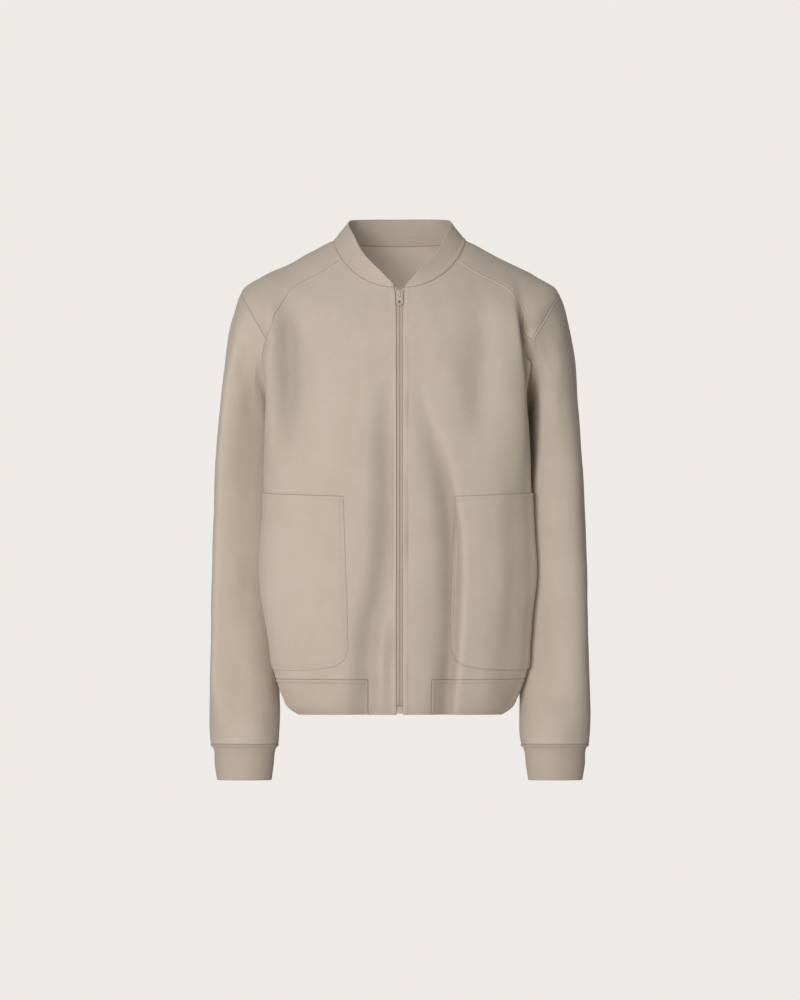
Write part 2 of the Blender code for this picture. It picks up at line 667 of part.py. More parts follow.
def plate_with_holes(outer, holes, low, high):
    """Closed plate from a counter-clockwise outline and counter-clockwise holes in it."""
    loops = [outer] + [hole[::-1] for hole in holes]
    flat = [(x, t) for loop in loops for x, t in loop]
    fill = tessellate_polygon([[Vector((x, t, 0.0)) for x, t in loop] for loop in loops])
    count = len(flat)
    verts = [(x, t, low) for x, t in flat] + [(x, t, high) for x, t in flat]
    tris = []
    for a, b, c in fill:
        (ax, ay), (bx, by), (cx, cy) = flat[a], flat[b], flat[c]
        if (bx - ax) * (cy - ay) - (by - ay) * (cx - ax) < 0:
            b, c = c, b
        tris += [(a + count, b + count, c + count), (a, c, b)]
    start = 0
    for loop in loops:
        for k in range(len(loop)):
            m, n = start + k, start + (k + 1) % len(loop)
            tris += [(m, n, n + count), (m, n + count, m + count)]
        start += len(loop)
    return verts, tris


def circle(x, t, radius, steps):
    """Counter-clockwise loop of (x, along) points."""
    turn = [2 * math.pi * (k + 0.5) / steps for k in range(steps)]
    return [(x + radius * math.cos(a), t + radius * math.sin(a)) for a in turn]


def build_pull():
    """The pull hangs below its cross bar, with an eye round the bridge and a finger hole."""
    pivot, up, out = pull_pivot()
    radius, bar, neck = 0.0052, 0.00065, 0.0034
    low_mid = radius - PULL_LONG
    eye_half = BRIDGE_WIDE / 2 + 0.0005
    eye_low = -(BRIDGE_LONG / 2 + 0.0008)
    corner = math.asin(math.sqrt(1 - (neck / radius)**2))
    sweep = [math.pi - corner + (math.pi + 2 * corner) * k / 30 for k in range(31)]
    outline = [(neck, bar), (-neck, bar)]
    outline += [(radius * math.cos(a), low_mid + radius * math.sin(a)) for a in sweep]
    eye = [(-eye_half, eye_low), (eye_half, eye_low), (eye_half, -bar), (-eye_half, -bar)]
    hole = circle(0.0, low_mid - 0.0004, 0.0026, 24)
    plate = plate_with_holes(outline, [eye, hole], -PULL_THICK / 2, PULL_THICK / 2)
    return join_parts("zip_pull", [plate], "zip_metal", (pivot, up, out))


def build_zip():
    depth = -TAPE_DEPTH
    half_chain = CHAIN_THICK / 2
    box_top = ZIP_BOTTOM_Z + BOX_LONG
    closed_top = SLIDER_TOP_Z - SLIDER_LONG * RISE + CHAIN_IN_SLIDER
    rows = [v for v in BODY_V if v_at_z(box_top + 0.004) < v < v_at_z(closed_top - 0.006)]
    closed = [v_at_z(box_top + CHAIN_GAP)] + rows + [v_at_z(closed_top)]
    strip("zip_chain", [(v, -CHAIN_HALF, CHAIN_HALF) for v in closed], "zip_chain",
          (depth - half_chain, depth + half_chain))
    for sign, tag in ((-1, "l"), (1, "r")):
        strip("zip_chain_%s" % tag, [(v_at_z(z), sign * a, sign * b) for z, a, b in OPEN_CHAIN],
              "zip_chain", (depth - half_chain, depth + half_chain))


def tape_pieces(cloth_points, cloth_push, fronts):
    """Tapes behind the front edges, parallel with the first facets of the front panels."""
    low_row = v_at_z(ZIP_BOTTOM_Z + BOX_LONG + CHAIN_GAP)
    closed_edge = TAPE_IN + TAPE_DEPTH
    for side, tag in ((-1, "l"), (1, "r")):
        ids = fronts[side]
        rows = [k for k, v in enumerate(BODY_V) if v >= 0.0]
        stations = [low_row] + [BODY_V[k] for k in rows]
        verts = []
        for v in stations:
            k = int(np.clip(np.searchsorted(BODY_V, v, side="right") - 1, 0, len(BODY_V) - 2))
            f = (v - BODY_V[k]) / (BODY_V[k + 1] - BODY_V[k])
            ends, pushes = [], []
            for col in (0, 1):
                ends.append(cloth_points[ids[k][col]] * (1 - f) + cloth_points[ids[k + 1][col]] * f)
                pushes.append(cloth_push[ids[k][col]] * (1 - f) + cloth_push[ids[k + 1][col]] * f)
            edge = abs(ends[0][0])
            inner = TAPE_IN + max(0.0, edge - closed_edge) * TAPE_SPREAD
            for x in (inner, edge + TAPE_WIDE):
                t = (x - edge) / (abs(ends[1][0]) - edge)
                at = ends[0] + (ends[1] - ends[0]) * t
                push = pushes[0] + (pushes[1] - pushes[0]) * max(t, 0.0)
                for far in (-TAPE_DEPTH + TAPE_THICK / 2, -TAPE_DEPTH - TAPE_THICK / 2):
                    verts.append(at + push * far)
        n = len(stations)
        order = (0, 2, 3, 1)
        tris = []
        for k in range(n - 1):
            for j in range(4):
                a, b = k * 4 + order[j], k * 4 + order[(j + 1) % 4]
                tris += [(a, b, b + 4), (a, b + 4, a + 4)]
        first = [order[j] for j in range(4)]
        last = [(n - 1) * 4 + order[j] for j in range(4)]
        tris += [(first[0], first[2], first[1]), (first[0], first[3], first[2])]
        tris += [(last[0], last[1], last[2]), (last[0], last[2], last[3])]
        if side < 0:
            tris = [t[::-1] for t in tris]
        add_object("zip_tape_%s" % tag, verts, tris, "zip_tape", smooth=False)


# ---------------------------------------------------------------- build
def main():
    for old in list(bpy.data.objects):
        bpy.data.objects.remove(old, do_unlink=True)

    cloth = Cloth()
    fronts, yokes = {}, {}
    front_grids = {side: front_grid(side) for side in (-1, 1)}
    back = back_grid()
    for side, tag in ((-1, "l"), (1, "r")):
        grid = front_grids[side]
        fronts[side] = cloth.add_grid("front_%s" % tag, grid, flip=side < 0,
                                      keep=lambda i, j: i >= ROW_ZERO or j == 0)
        yokes[side] = yoke_grid(side)
        cloth.add_grid("yoke_%s" % tag, yokes[side], flip=side < 0)
    cloth.add_grid("back", back[ROW_ZERO:], flip=True)

    band = []
    for i in range(ROW_ZERO + 1):
        left = front_grids[-1][i][1:]
        right = front_grids[1][i][1:]
        band.append(left + back[i][1:-1] + right[::-1])
    cloth.add_grid("hem_band", band, flip=True)

    neck_front = [s * front_u(1.0) for s in FRONT_S]
    neck_yoke = [front_u(1.0) + (back_u(1.0) - front_u(1.0)) * j / COLS_TOP
                 for j in range(1, COLS_TOP + 1)]
    half = COLS_BACK // 2
    neck_back = [back_u(1.0) + (1.0 - back_u(1.0)) * k / half for k in range(1, half + 1)]
    neck_us = neck_front + neck_yoke + neck_back
    collar_l, collar_r = collar_grid(neck_us, -1), collar_grid(neck_us, 1)
    cloth.add_grid("collar", [a + b[-2::-1] for a, b in zip(collar_l, collar_r)], flip=True)

    for side, tag in ((-1, "l"), (1, "r")):
        edge = 0 if side < 0 else -1
        loop = armhole_loop(front_grids[side], yokes[side], [row[edge] for row in back], side)
        top = ROWS_ARM + round(SHOULDER_AT * COLS_TOP)
        angles = loop_angles(loop, top)
        cloth.add_grid("sleeve_%s" % tag, sleeve_grid(loop, angles, side), flip=side > 0, closed=True)
        cloth.add_grid("cuff_%s" % tag, cuff_grid(angles, side), flip=side > 0, closed=True)

    points, push, room = cloth.normals()
    for name, faces in cloth.pieces.items():
        rib = name.startswith(("collar", "cuff", "hem_band"))
        thick = RIB if name.startswith(("collar", "cuff")) else CLOTH
        verts, tris = thick_piece(points, push, room, faces, thick, SEAM_GAP / 2)
        add_object(name, verts, tris, "rib" if rib else "cloth")

    outline = [np.array(p) for p in POCKET_OUTLINE]
    for side, tag in ((-1, "l"), (1, "r")):
        ids = fronts[side]
        cells = []
        for i in range(ROW_ZERO, len(BODY_V) - 1):
            for j in range(len(FRONT_S) - 1):
                corner = [(ids[i][j], (FRONT_S[j] * front_u(BODY_V[i]), BODY_V[i])),
                          (ids[i][j + 1], (FRONT_S[j + 1] * front_u(BODY_V[i]), BODY_V[i])),
                          (ids[i + 1][j + 1], (FRONT_S[j + 1] * front_u(BODY_V[i + 1]), BODY_V[i + 1])),
                          (ids[i + 1][j], (FRONT_S[j] * front_u(BODY_V[i + 1]), BODY_V[i + 1]))]
                for pick in ((0, 1, 2), (0, 2, 3)):
                    cells.append(([corner[k][0] for k in pick], [corner[k][1] for k in pick]))
        verts, pushes, tris = cut_from(cells, outline, points, push)
        if side < 0:
            tris = [t[::-1] for t in tris]
        low = CLOTH / 2 + LIFT
        verts, tris = closed_layer(verts, pushes, tris, low, low + POCKET)
        add_object("pocket_%s" % tag, verts, tris, "cloth")

    build_zip()
    tape_pieces(points, push, fronts)
    build_slider()
    build_pull()

    here, up, out = front_line(v_at_z(ZIP_BOTTOM_Z + BOX_LONG / 2))
    plate = rounded_rect(BOX_WIDE, BOX_LONG, 0.0008, 2)
    join_parts("zip_box", [slab_between(None, plate, -BOX_THICK / 2, BOX_THICK / 2)], "zip_metal",
               (here - out * TAPE_DEPTH, up, out))


main()
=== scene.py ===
"""Looks of a hollow zip-up sweat jacket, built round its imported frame.

Metres, +Z up, the front faces -Y, and _l is on -X. Each cut piece of cloth is a closed thin
shell about a grid of points on the garment's own form, so pieces that share a seam share its
line. Creases, welts, stitches, zip coils and the slider are added on that form.
"""
import logging
import math
from dataclasses import dataclass, field
from enum import Enum

import bpy
import numpy as np
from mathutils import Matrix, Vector


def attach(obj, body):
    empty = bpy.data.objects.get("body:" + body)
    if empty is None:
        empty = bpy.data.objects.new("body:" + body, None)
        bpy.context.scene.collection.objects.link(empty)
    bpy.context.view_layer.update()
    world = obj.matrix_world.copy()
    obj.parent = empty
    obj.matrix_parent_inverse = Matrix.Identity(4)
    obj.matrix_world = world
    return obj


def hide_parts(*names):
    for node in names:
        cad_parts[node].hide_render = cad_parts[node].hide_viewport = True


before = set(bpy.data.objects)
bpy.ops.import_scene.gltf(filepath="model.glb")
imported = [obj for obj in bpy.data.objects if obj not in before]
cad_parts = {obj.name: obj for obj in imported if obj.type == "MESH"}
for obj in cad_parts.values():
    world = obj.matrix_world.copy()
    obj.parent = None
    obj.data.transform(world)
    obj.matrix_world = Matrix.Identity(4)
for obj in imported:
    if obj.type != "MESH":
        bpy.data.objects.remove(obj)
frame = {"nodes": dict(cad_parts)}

LOG = logging.getLogger("jacket")
Tree = bpy.types.NodeTree
Socket = bpy.types.NodeSocket
Material = bpy.types.Material
Piece = bpy.types.Object
Array = np.ndarray
ROOT = "jacket"

# ---- the garment's form
# Half rings of the body from the hem edge (v < 0) through the hem seam (0) to the neck (1).
# Columns: v, z at the front, side and back, x of the front edge, half width left and right,
# y at the front, side and back, squareness of the front and back, dent of the arm.
RINGS = (
    (-0.075, -0.6635, -0.6635, -0.6635, 0.0042, 0.1415, 0.1410, -0.095, -0.030, 0.100, 0.84, 0.80, 0.000),
    (-0.062, -0.6560, -0.6558, -0.6560, 0.0042, 0.1540, 0.1535, -0.099, -0.033, 0.104, 0.83, 0.79, 0.002),
    (-0.035, -0.6405, -0.6390, -0.6405, 0.0042, 0.1640, 0.1640, -0.104, -0.038, 0.110, 0.82, 0.76, 0.006),
    (0.000, -0.6143, -0.6133, -0.6143, 0.0042, 0.1735, 0.1750, -0.110, -0.044, 0.117, 0.80, 0.72, 0.016),
    (0.100, -0.5590, -0.5590, -0.5590, 0.0042, 0.1835, 0.1810, -0.117, -0.050, 0.123, 0.78, 0.68, 0.034),
    (0.250, -0.4700, -0.4700, -0.4700, 0.0042, 0.1940, 0.1890, -0.123, -0.054, 0.126, 0.77, 0.66, 0.042),
    (0.400, -0.3800, -0.3800, -0.3800, 0.0042, 0.1910, 0.1850, -0.126, -0.056, 0.126, 0.77, 0.66, 0.038),
    (0.520, -0.3090, -0.3090, -0.3090, 0.0042, 0.1905, 0.1830, -0.127, -0.058, 0.126, 0.78, 0.65, 0.034),
    (0.600, -0.2600, -0.2600, -0.2620, 0.0042, 0.1890, 0.1800, -0.126, -0.058, 0.125, 0.79, 0.63, 0.026),
    (0.680, -0.2080, -0.2000, -0.2100, 0.0042, 0.1875, 0.1790, -0.122, -0.050, 0.121, 0.83, 0.63, 0.018),
    (0.740, -0.1670, -0.1450, -0.1650, 0.0042, 0.1980, 0.1940, -0.1155, -0.030, 0.114, 0.89, 0.70, 0.007),
    (0.800, -0.1280, -0.0756, -0.1160, 0.0042, 0.2220, 0.2220, -0.107, 0.000, 0.103, 0.94, 0.86, 0.000),
    (0.850, -0.1030, -0.0512, -0.0840, 0.0044, 0.1905, 0.1905, -0.0995, 0.003, 0.092, 0.95, 0.93, 0.000),
    (0.900, -0.0870, -0.0360, -0.0550, 0.0056, 0.1610, 0.1610, -0.0930, 0.003, 0.082, 0.97, 0.95, 0.000),
    (0.950, -0.0755, -0.0180, -0.0290, 0.0060, 0.1260, 0.1260, -0.0880, 0.000, 0.072, 0.98, 0.97, 0.000),
    (1.000, -0.0658, 0.0000, -0.0070, 0.0078, 0.0920, 0.0920, -0.0840, 0.000, 0.062, 0.98, 0.98, 0.000),
)
RING_FALL = 1.35        # how the height runs from the side of a ring to its front and back
DENT_Y = 0.030          # middle of the dent that each arm makes
DENT_SPREAD = 0.050
SLOPE_STEP = 0.004      # difference in u or v over which a direction is taken
V_HEM = -0.075
V_UNDERARM = 0.600
V_TIP = 0.753           # the yoke's tips on the armhole
SIDE_V = np.linspace(0.0, V_UNDERARM, 160)      # heights along the side seams,
YOKE_V = np.linspace(V_TIP, 1.0, 80)            # the yoke seams
END_V = np.linspace(V_HEM, 0.0, 20)             # and the ends of the hem band
FRONT_EDGE = (    # v, u: side seam, armhole, then the front yoke seam
    (-0.075, 0.56), (0.0, 0.57), (0.25, 0.575), (0.6, 0.575), (0.62, 0.54), (0.66, 0.49), (0.7, 0.44),
    (0.73, 0.402), (0.753, 0.372), (0.77, 0.346), (0.79, 0.33), (0.81, 0.329), (0.838, 0.343),
    (0.867, 0.355), (0.902, 0.357), (0.945, 0.352), (1.0, 0.358))
BACK_EDGE = (    # v, u: side seam, armhole, then the back yoke seam
    (-0.075, 0.56), (0.0, 0.57), (0.25, 0.575), (0.6, 0.575), (0.62, 0.605), (0.66, 0.64), (0.7, 0.655),
    (0.73, 0.652), (0.753, 0.642), (0.8, 0.665), (0.86, 0.668), (0.93, 0.664), (1.0, 0.655))
ARMHOLE_TOP = (    # fraction from the front tip to the back tip, u, v
    (0.0, 0.372, 0.753), (0.12, 0.382, 0.763), (0.26, 0.401, 0.778), (0.4, 0.434, 0.795),
    (0.53, 0.5, 0.803), (0.66, 0.56, 0.797), (0.8, 0.604, 0.782), (0.91, 0.628, 0.766),
    (1.0, 0.642, 0.753))
BAND_END = 0.0865 / 0.57    # part of the front's width that runs down between the band's ends
BAND_FLARE = 0.19           # more at the hem edge, so that the band's ends stand upright
SLEEVE_RINGS = (        # w, x and z of the outer side, of the inner side, y front, y back
    (0.000, 0.2220, -0.0756, 0.1560, -0.2600, -0.062, 0.072),
    (0.030, 0.2270, -0.0850, 0.1660, -0.2630, -0.056, 0.082),
    (0.090, 0.2360, -0.1180, 0.1670, -0.2830, -0.044, 0.098),
    (0.170, 0.2440, -0.1660, 0.1610, -0.3180, -0.031, 0.109),
    (0.270, 0.2500, -0.2300, 0.1600, -0.3600, -0.023, 0.115),
    (0.420, 0.2565, -0.3280, 0.1610, -0.4200, -0.021, 0.112),
    (0.580, 0.2610, -0.4350, 0.1645, -0.4900, -0.023, 0.101),
    (0.740, 0.2645, -0.5380, 0.1680, -0.5600, -0.030, 0.085),
    (0.880, 0.2658, -0.6280, 0.1695, -0.6330, -0.038, 0.067),
    (0.960, 0.2662, -0.6850, 0.1695, -0.6850, -0.042, 0.053),
    (1.000, 0.2645, -0.7055, 0.1710, -0.7055, -0.041, 0.045),
)
CUFF_RINGS = (
    (0.000, 0.2645, -0.7055, 0.1710, -0.7055, -0.041, 0.045),
    (0.120, 0.2605, -0.7110, 0.1745, -0.7110, -0.037, 0.041),
    (0.500, 0.2580, -0.7340, 0.1775, -0.7340, -0.034, 0.038),
    (1.000, 0.2545, -0.7565, 0.1808, -0.7565, -0.031, 0.035),
)
HEAD_FADE = 0.34        # part of the sleeve over which it takes up the armhole's own shape
WRIST_ROUND = (0.98, 0.86)      # it is square up to the second and round from the first on
COLLAR_TOP = (    # u round the neck, x, y, z of the upper edge
    (0.0, 0.0096, -0.085, -0.061), (0.06, 0.0155, -0.083, -0.055), (0.14, 0.026, -0.0785, -0.0435),
    (0.24, 0.0385, -0.0685, -0.0315), (0.34, 0.0535, -0.052, -0.0135), (0.43, 0.0645, -0.031, 0.0085),
    (0.5, 0.0712, -0.006, 0.0225), (0.56, 0.07, 0.012, 0.0272), (0.68, 0.06, 0.037, 0.0302),
    (0.82, 0.037, 0.053, 0.0312), (1.0, 0.0, 0.059, 0.0312))
COLLAR_BULGE = 0.0015
POCKET_INNER = (    # fraction up from the corner's middle, u, v
    (0.0, 0.1565, 0.0405), (0.04, 0.15, 0.046), (0.09, 0.144, 0.055), (0.16, 0.1385, 0.072),
    (0.3, 0.1345, 0.115), (0.62, 0.132, 0.233), (1.0, 0.1415, 0.4375))
POCKET_LOWER = (    # fraction outwards from the corner's middle, u, v
    (0.0, 0.1565, 0.0405), (0.06, 0.168, 0.0335), (0.16, 0.19, 0.0268), (0.3, 0.225, 0.022),
    (0.48, 0.275, 0.019), (0.75, 0.35, 0.018), (1.0, 0.43, 0.021))
POCKET_OUTER_TOP = (0.4300, 0.4460)

# Zip
CHAIN_THICK = 0.0022
CHAIN_HALF = 0.0030
TAPE_DEPTH = 0.0019
ZIP_BOTTOM_Z = -0.6625
BOX_LONG = 0.0110

# ---- creases
# A crease is a soft trough (deep < 0) or ridge along a line seen square from the front or back.
# Columns: depth, reach to the left and to the right of the line, then its x, z points.
FRONT_CREASES = (
    (-0.017, 0.0135, 0.04, ((-0.1615, -0.06), (-0.161, -0.09), (-0.161, -0.126), (-0.16, -0.182),
        (-0.159, -0.24), (-0.156, -0.33))),
    (0.008, 0.015, 0.011, ((-0.18, -0.09), (-0.1795, -0.126), (-0.179, -0.182), (-0.179, -0.238),
        (-0.177, -0.33))),
    (0.0085, 0.04, 0.01, ((0.154, -0.03), (0.157, -0.1), (0.16, -0.126), (0.163, -0.182),
        (0.1655, -0.238), (0.167, -0.29), (0.167, -0.37))),
    (-0.0085, 0.024, 0.022, ((0.1115, -0.08), (0.11, -0.13), (0.109, -0.19), (0.107, -0.24),
        (0.104, -0.32))),
    (-0.0086, 0.017, 0.0085, ((0.02, -0.165), (0.035, -0.238), (0.053, -0.294), (0.069, -0.364),
        (0.0755, -0.434), (0.074, -0.56), (0.07, -0.602), (0.0665, -0.64), (0.065, -0.8))),
    (-0.0112, 0.034, 0.006, ((0.05, -0.26), (0.067, -0.33), (0.078, -0.4), (0.0772, -0.56),
        (0.0735, -0.61), (0.069, -0.66), (0.067, -0.8))),
    (-0.0105, 0.018, 0.016, ((-0.013, -0.14), (-0.0165, -0.238), (-0.018, -0.29), (-0.0165, -0.364),
        (-0.019, -0.434), (-0.029, -0.504), (-0.0425, -0.56), (-0.045, -0.602), (-0.0455, -0.66),
        (-0.046, -0.8))),
    (0.0072, 0.009, 0.01, ((-0.022, -0.5), (-0.026, -0.57), (-0.027, -0.64), (-0.028, -0.72))),
    (-0.0055, 0.02, 0.05, ((0.205, -0.25), (0.19, -0.29), (0.176, -0.335), (0.166, -0.364),
        (0.164, -0.44), (0.16, -0.51), (0.155, -0.57), (0.151, -0.66), (0.149, -0.8))),
    (0.0018, 0.034, 0.034, ((-0.11, -0.11), (-0.116, -0.2), (-0.108, -0.3))),
    (-0.003, 0.014, 0.018, ((-0.072, -0.612), (-0.06, -0.66), (-0.058, -0.74))),
    (0.0014, 0.018, 0.018, ((0.08, -0.06), (0.098, -0.12), (0.15, -0.19))),
)
FRONT_FOLD = (-0.0200, 0.0050, 0.0130, (     # the deep one beside the right armhole
    (0.1660, -0.076), (0.1705, -0.096), (0.1730, -0.126), (0.1760, -0.150), (0.1790, -0.182),
    (0.1805, -0.215), (0.1830, -0.255), (0.1860, -0.310)))
BACK_CREASES = (
    (-0.0046, 0.02, 0.026, ((-0.12, -0.17), (-0.112, -0.26), (-0.098, -0.36), (-0.086, -0.47))),
    (-0.004, 0.026, 0.018, ((0.128, -0.19), (0.116, -0.28), (0.104, -0.39), (0.098, -0.45))),
    (-0.0036, 0.022, 0.022, ((-0.03, -0.33), (-0.024, -0.43), (-0.034, -0.54), (-0.03, -0.61))),
    (-0.0032, 0.02, 0.026, ((0.046, -0.3), (0.04, -0.4), (0.054, -0.52), (0.05, -0.625))),
    (0.0022, 0.028, 0.024, ((0.01, -0.13), (0.006, -0.21), (0.012, -0.29))),
    (-0.0022, 0.02, 0.016, ((0.094, -0.52), (0.112, -0.58), (0.11, -0.64))),
    (-0.002, 0.016, 0.022, ((-0.13, -0.52), (-0.118, -0.59), (-0.122, -0.65))),
)
SLEEVE_CREASES = {    # side: facing, then rows as above, in true x
    -1: (
        (-1, (-0.0026, 0.018, 0.012, ((-0.186, -0.15), (-0.194, -0.19), (-0.2, -0.23), (-0.202, -0.32)))),
        (-1, (0.002, 0.016, 0.02, ((-0.222, -0.17), (-0.23, -0.3), (-0.228, -0.43), (-0.232, -0.6)))),
        (-1, (-0.0014, 0.014, 0.018, ((-0.206, -0.42), (-0.214, -0.5), (-0.21, -0.58)))),
        (-1, (-0.0012, 0.012, 0.012, ((-0.236, -0.64), (-0.222, -0.668), (-0.205, -0.684)))),
        (1, (-0.003, 0.016, 0.02, ((-0.196, -0.18), (-0.204, -0.27), (-0.214, -0.35)))),
        (1, (-0.0026, 0.014, 0.014, ((-0.176, -0.372), (-0.206, -0.392), (-0.24, -0.384)))),
        (1, (-0.0022, 0.012, 0.014, ((-0.18, -0.412), (-0.212, -0.424), (-0.238, -0.44)))),
        (1, (-0.0016, 0.016, 0.016, ((-0.212, -0.5), (-0.22, -0.59), (-0.214, -0.66)))),
    ),
    1: (
        (-1, (0.003, 0.018, 0.02, ((0.212, -0.18), (0.219, -0.3), (0.218, -0.45), (0.221, -0.62)))),
        (-1, (-0.002, 0.016, 0.016, ((0.236, -0.15), (0.242, -0.26), (0.246, -0.36)))),
        (-1, (-0.0014, 0.014, 0.014, ((0.2, -0.5), (0.204, -0.58), (0.2, -0.64)))),
        (-1, (-0.0012, 0.012, 0.012, ((0.24, -0.64), (0.228, -0.665), (0.21, -0.684)))),
        (1, (-0.0028, 0.018, 0.018, ((0.2, -0.19), (0.208, -0.28), (0.216, -0.35)))),
        (1, (-0.0028, 0.014, 0.014, ((0.174, -0.36), (0.204, -0.384), (0.242, -0.376)))),
        (1, (-0.002, 0.014, 0.012, ((0.178, -0.404), (0.21, -0.42), (0.24, -0.414)))),
        (1, (-0.0016, 0.016, 0.016, ((0.208, -0.48), (0.216, -0.57), (0.212, -0.65)))),
    ),
}

# ---- sizes of the cloth
CLOTH = 0.0020
RIB = 0.0030
POCKET_CLOTH = 0.0016
POCKET_LIFT = 0.0004
STRIP_WIDE, FRONT_WIDE, BACK_HALF = 0.0406, 0.232, 0.215    # rough sizes that space the grids
BAND_HALF, BAND_HIGH, BODY_HIGH = 0.430, 0.048, 0.560
YOKE_HIGH, YOKE_WIDE = 0.135, 0.175
POCKET_HIGH, POCKET_WIDE = 0.245, 0.125
SLEEVE_LONG, CUFF_LONG = 0.610, 0.052
COLLAR_HALF, COLLAR_HIGH, TAPE_LONG = 0.240, 0.040, 0.580
SPACING = 0.0033            # between grid lines away from the seams
FINE_STEPS = (0.0, 0.0003, 0.0008, 0.0014, 0.0021, 0.0029, 0.0037, 0.0044, 0.0050, 0.0056,
              0.0064, 0.0078, 0.0100, 0.0130)
TURN_REACH = 0.007          # over this distance a seam's shared direction gives way to the cloth's
CALM_ZIP = (0.0055, 0.0135)     # creases die away between these distances from the zip
CALM_NECK = (0.000, 0.016)
CALM_COLLAR = (0.000, 0.014)
CALM_SEAM = (0.000, 0.020)
LEVEL_LOW, LEVEL_HIGH = -0.58, -0.45    # below the upper height creases push the cloth level
TRACK_POINTS = 24           # points of a crease's smooth line
END_FADE = 0.28             # part of it over which a crease fades in, and a long one out
SLOW_FADE = 0.55            # the same where a short one fades out
LONG_CREASE = 0.35          # a crease is long above this
FACING = (0.05, 0.45)       # a crease comes in between these parts of its own facing
FOLD_CLEAR = 0.005          # a deep fold stops this far from a seam
WAVES = ((0.150, 1.0), (0.090, 0.8), (0.055, 0.45), (0.030, 0.22), (0.018, 0.10))   # length, height
WAVES_EACH = 5
WAVE_WAYS = (1.0, 0.8, 0.55)    # how much the waves run along x, y and z
HOLLOW_REACH = 0.016        # a trough is shaded at most this far from its line
FULL_HOLLOW = 0.012         # and in full where it is this deep
SEAM_SHADE = 0.0016         # reach of the painted shade line beside a seam
ROW_SHADE = 0.0009          # half width of the painted shade line along a row of stitches
GROOVE_DEEP, GROOVE_WIDE = 0.35, 0.0007     # groove under the stitches, its depth as a part of the welt
PUCKER_PITCH = 0.0083       # length of a pucker along its seam
PUCKER_DRIFT, PUCKER_SWAY = 0.031, 1.7      # length and size of its unevenness
PUCKER_REACH, PUCKER_START = 0.0055, 0.0016     # it dies away over the first, it starts over the second
EDGE_PHASE = 1.9            # step of the pucker's phase from edge to edge
INNER_RELIEF = 0.3          # part of a seam's relief that the inner face follows
LEAST_HALF = 0.00003        # half the cloth's thickness where it ends

# ---- how the sleeves hang
SLEEVE_SQUARE = {-1: (0.62, 0.10, 0.10), 1: (0.24, 0.38, 0.10)}   # outer front, inner front, back
TURN_DEPTHS = (0.12, 0.26, 0.40, 0.50, 0.65)
SLEEVE_TURN = {         # front face: slopes towards the body by depth, pivot, shifts ahead by depth
    -1: ((0.62, 0.52, 0.26, 0.24, 0.20), 0.0, (0.0, 0.0, 0.0, 0.0, 0.0)),
    1: ((0.16, 0.26, 0.28, 0.24, 0.16), 0.030, (0.002, 0.012, 0.027, 0.024, 0.006))}
SLEEVE_CORNER = {    # depth below the neck point, x of the inner front corner, how much it is set back
    -1: (
        (0.0, 0.19, 0.0), (0.15, 0.194, 0.3), (0.26, 0.196, 0.5), (0.42, 0.19, 0.3), (0.62, 0.18, 0.0),
        (0.8, 0.17, 0.0)),
    1: (
        (0.0, 0.17, 0.0), (0.105, 0.174, 0.3), (0.126, 0.18, 1.0), (0.182, 0.192, 1.0),
        (0.238, 0.1975, 1.0), (0.294, 0.195, 1.0), (0.364, 0.1865, 0.8), (0.42, 0.183, 0.4),
        (0.45, 0.183, 0.4), (0.504, 0.182, 0.8), (0.56, 0.1785, 0.8), (0.625, 0.175, 0.0),
        (0.8, 0.17, 0.0)),
}
ARM_DARK = {-1: 0.16, 1: 0.0}       # painted shade line along the armhole's seam, left side only
ARM_WELT = {-1: 0.0, 1: 0.00045}    # the right sleeve's edge stands up there


def smooth_rows(table: object, t: object, tight: bool = False) -> Array:
    """Values of a table's rows at t on a smooth curve.

    Args:
        table: rows whose first column is the parameter.
        t: one or more parameter values.
        tight: True keeps the curve from swinging past its rows.

    Returns:
        One row of values for each t.
    """
    table = np.asarray(table, float)
    knots, values = table[:, 0], table[:, 1:]
    t = np.clip(np.atleast_1d(np.asarray(t, float)), knots[0], knots[-1])
    step = np.diff(knots)
    slope = np.diff(values, axis=0) / step[:, None]
    tangent = np.empty_like(values)
    tangent[0], tangent[-1] = slope[0], slope[-1]
    before, after = step[:-1, None], step[1:, None]
    tangent[1:-1] = (slope[:-1] * after + slope[1:] * before) / (before + after)
    if tight:
        same = slope[:-1] * slope[1:] > 0
        least = np.minimum(np.abs(slope[:-1]), np.abs(slope[1:])) * 2.0
        held = np.sign(tangent[1:-1]) * np.minimum(np.abs(tangent[1:-1]), least)
        tangent[1:-1] = np.where(same, held, 0.0)
    i = np.clip(np.searchsorted(knots, t, side="right") - 1, 0, len(knots) - 2)
    s = ((t - knots[i]) / step[i])[:, None]
    h = step[i][:, None]
    return ((2 * s**3 - 3 * s**2 + 1) * values[i] + (s**3 - 2 * s**2 + s) * h * tangent[i]
            + (3 * s**2 - 2 * s**3) * values[i + 1] + (s**3 - s**2) * h * tangent[i + 1])


def unit(vectors: Array) -> Array:
    """Vectors at length one, along the last axis."""
    return vectors / np.maximum(np.linalg.norm(vectors, axis=-1, keepdims=True), 1e-12)


def rise(x: Array, low: float, high: float) -> Array:
    """Smooth step from 0 at low to 1 at high."""
    s = np.clip((x - low) / (high - low), 0.0, 1.0)
    return s * s * (3.0 - 2.0 * s)


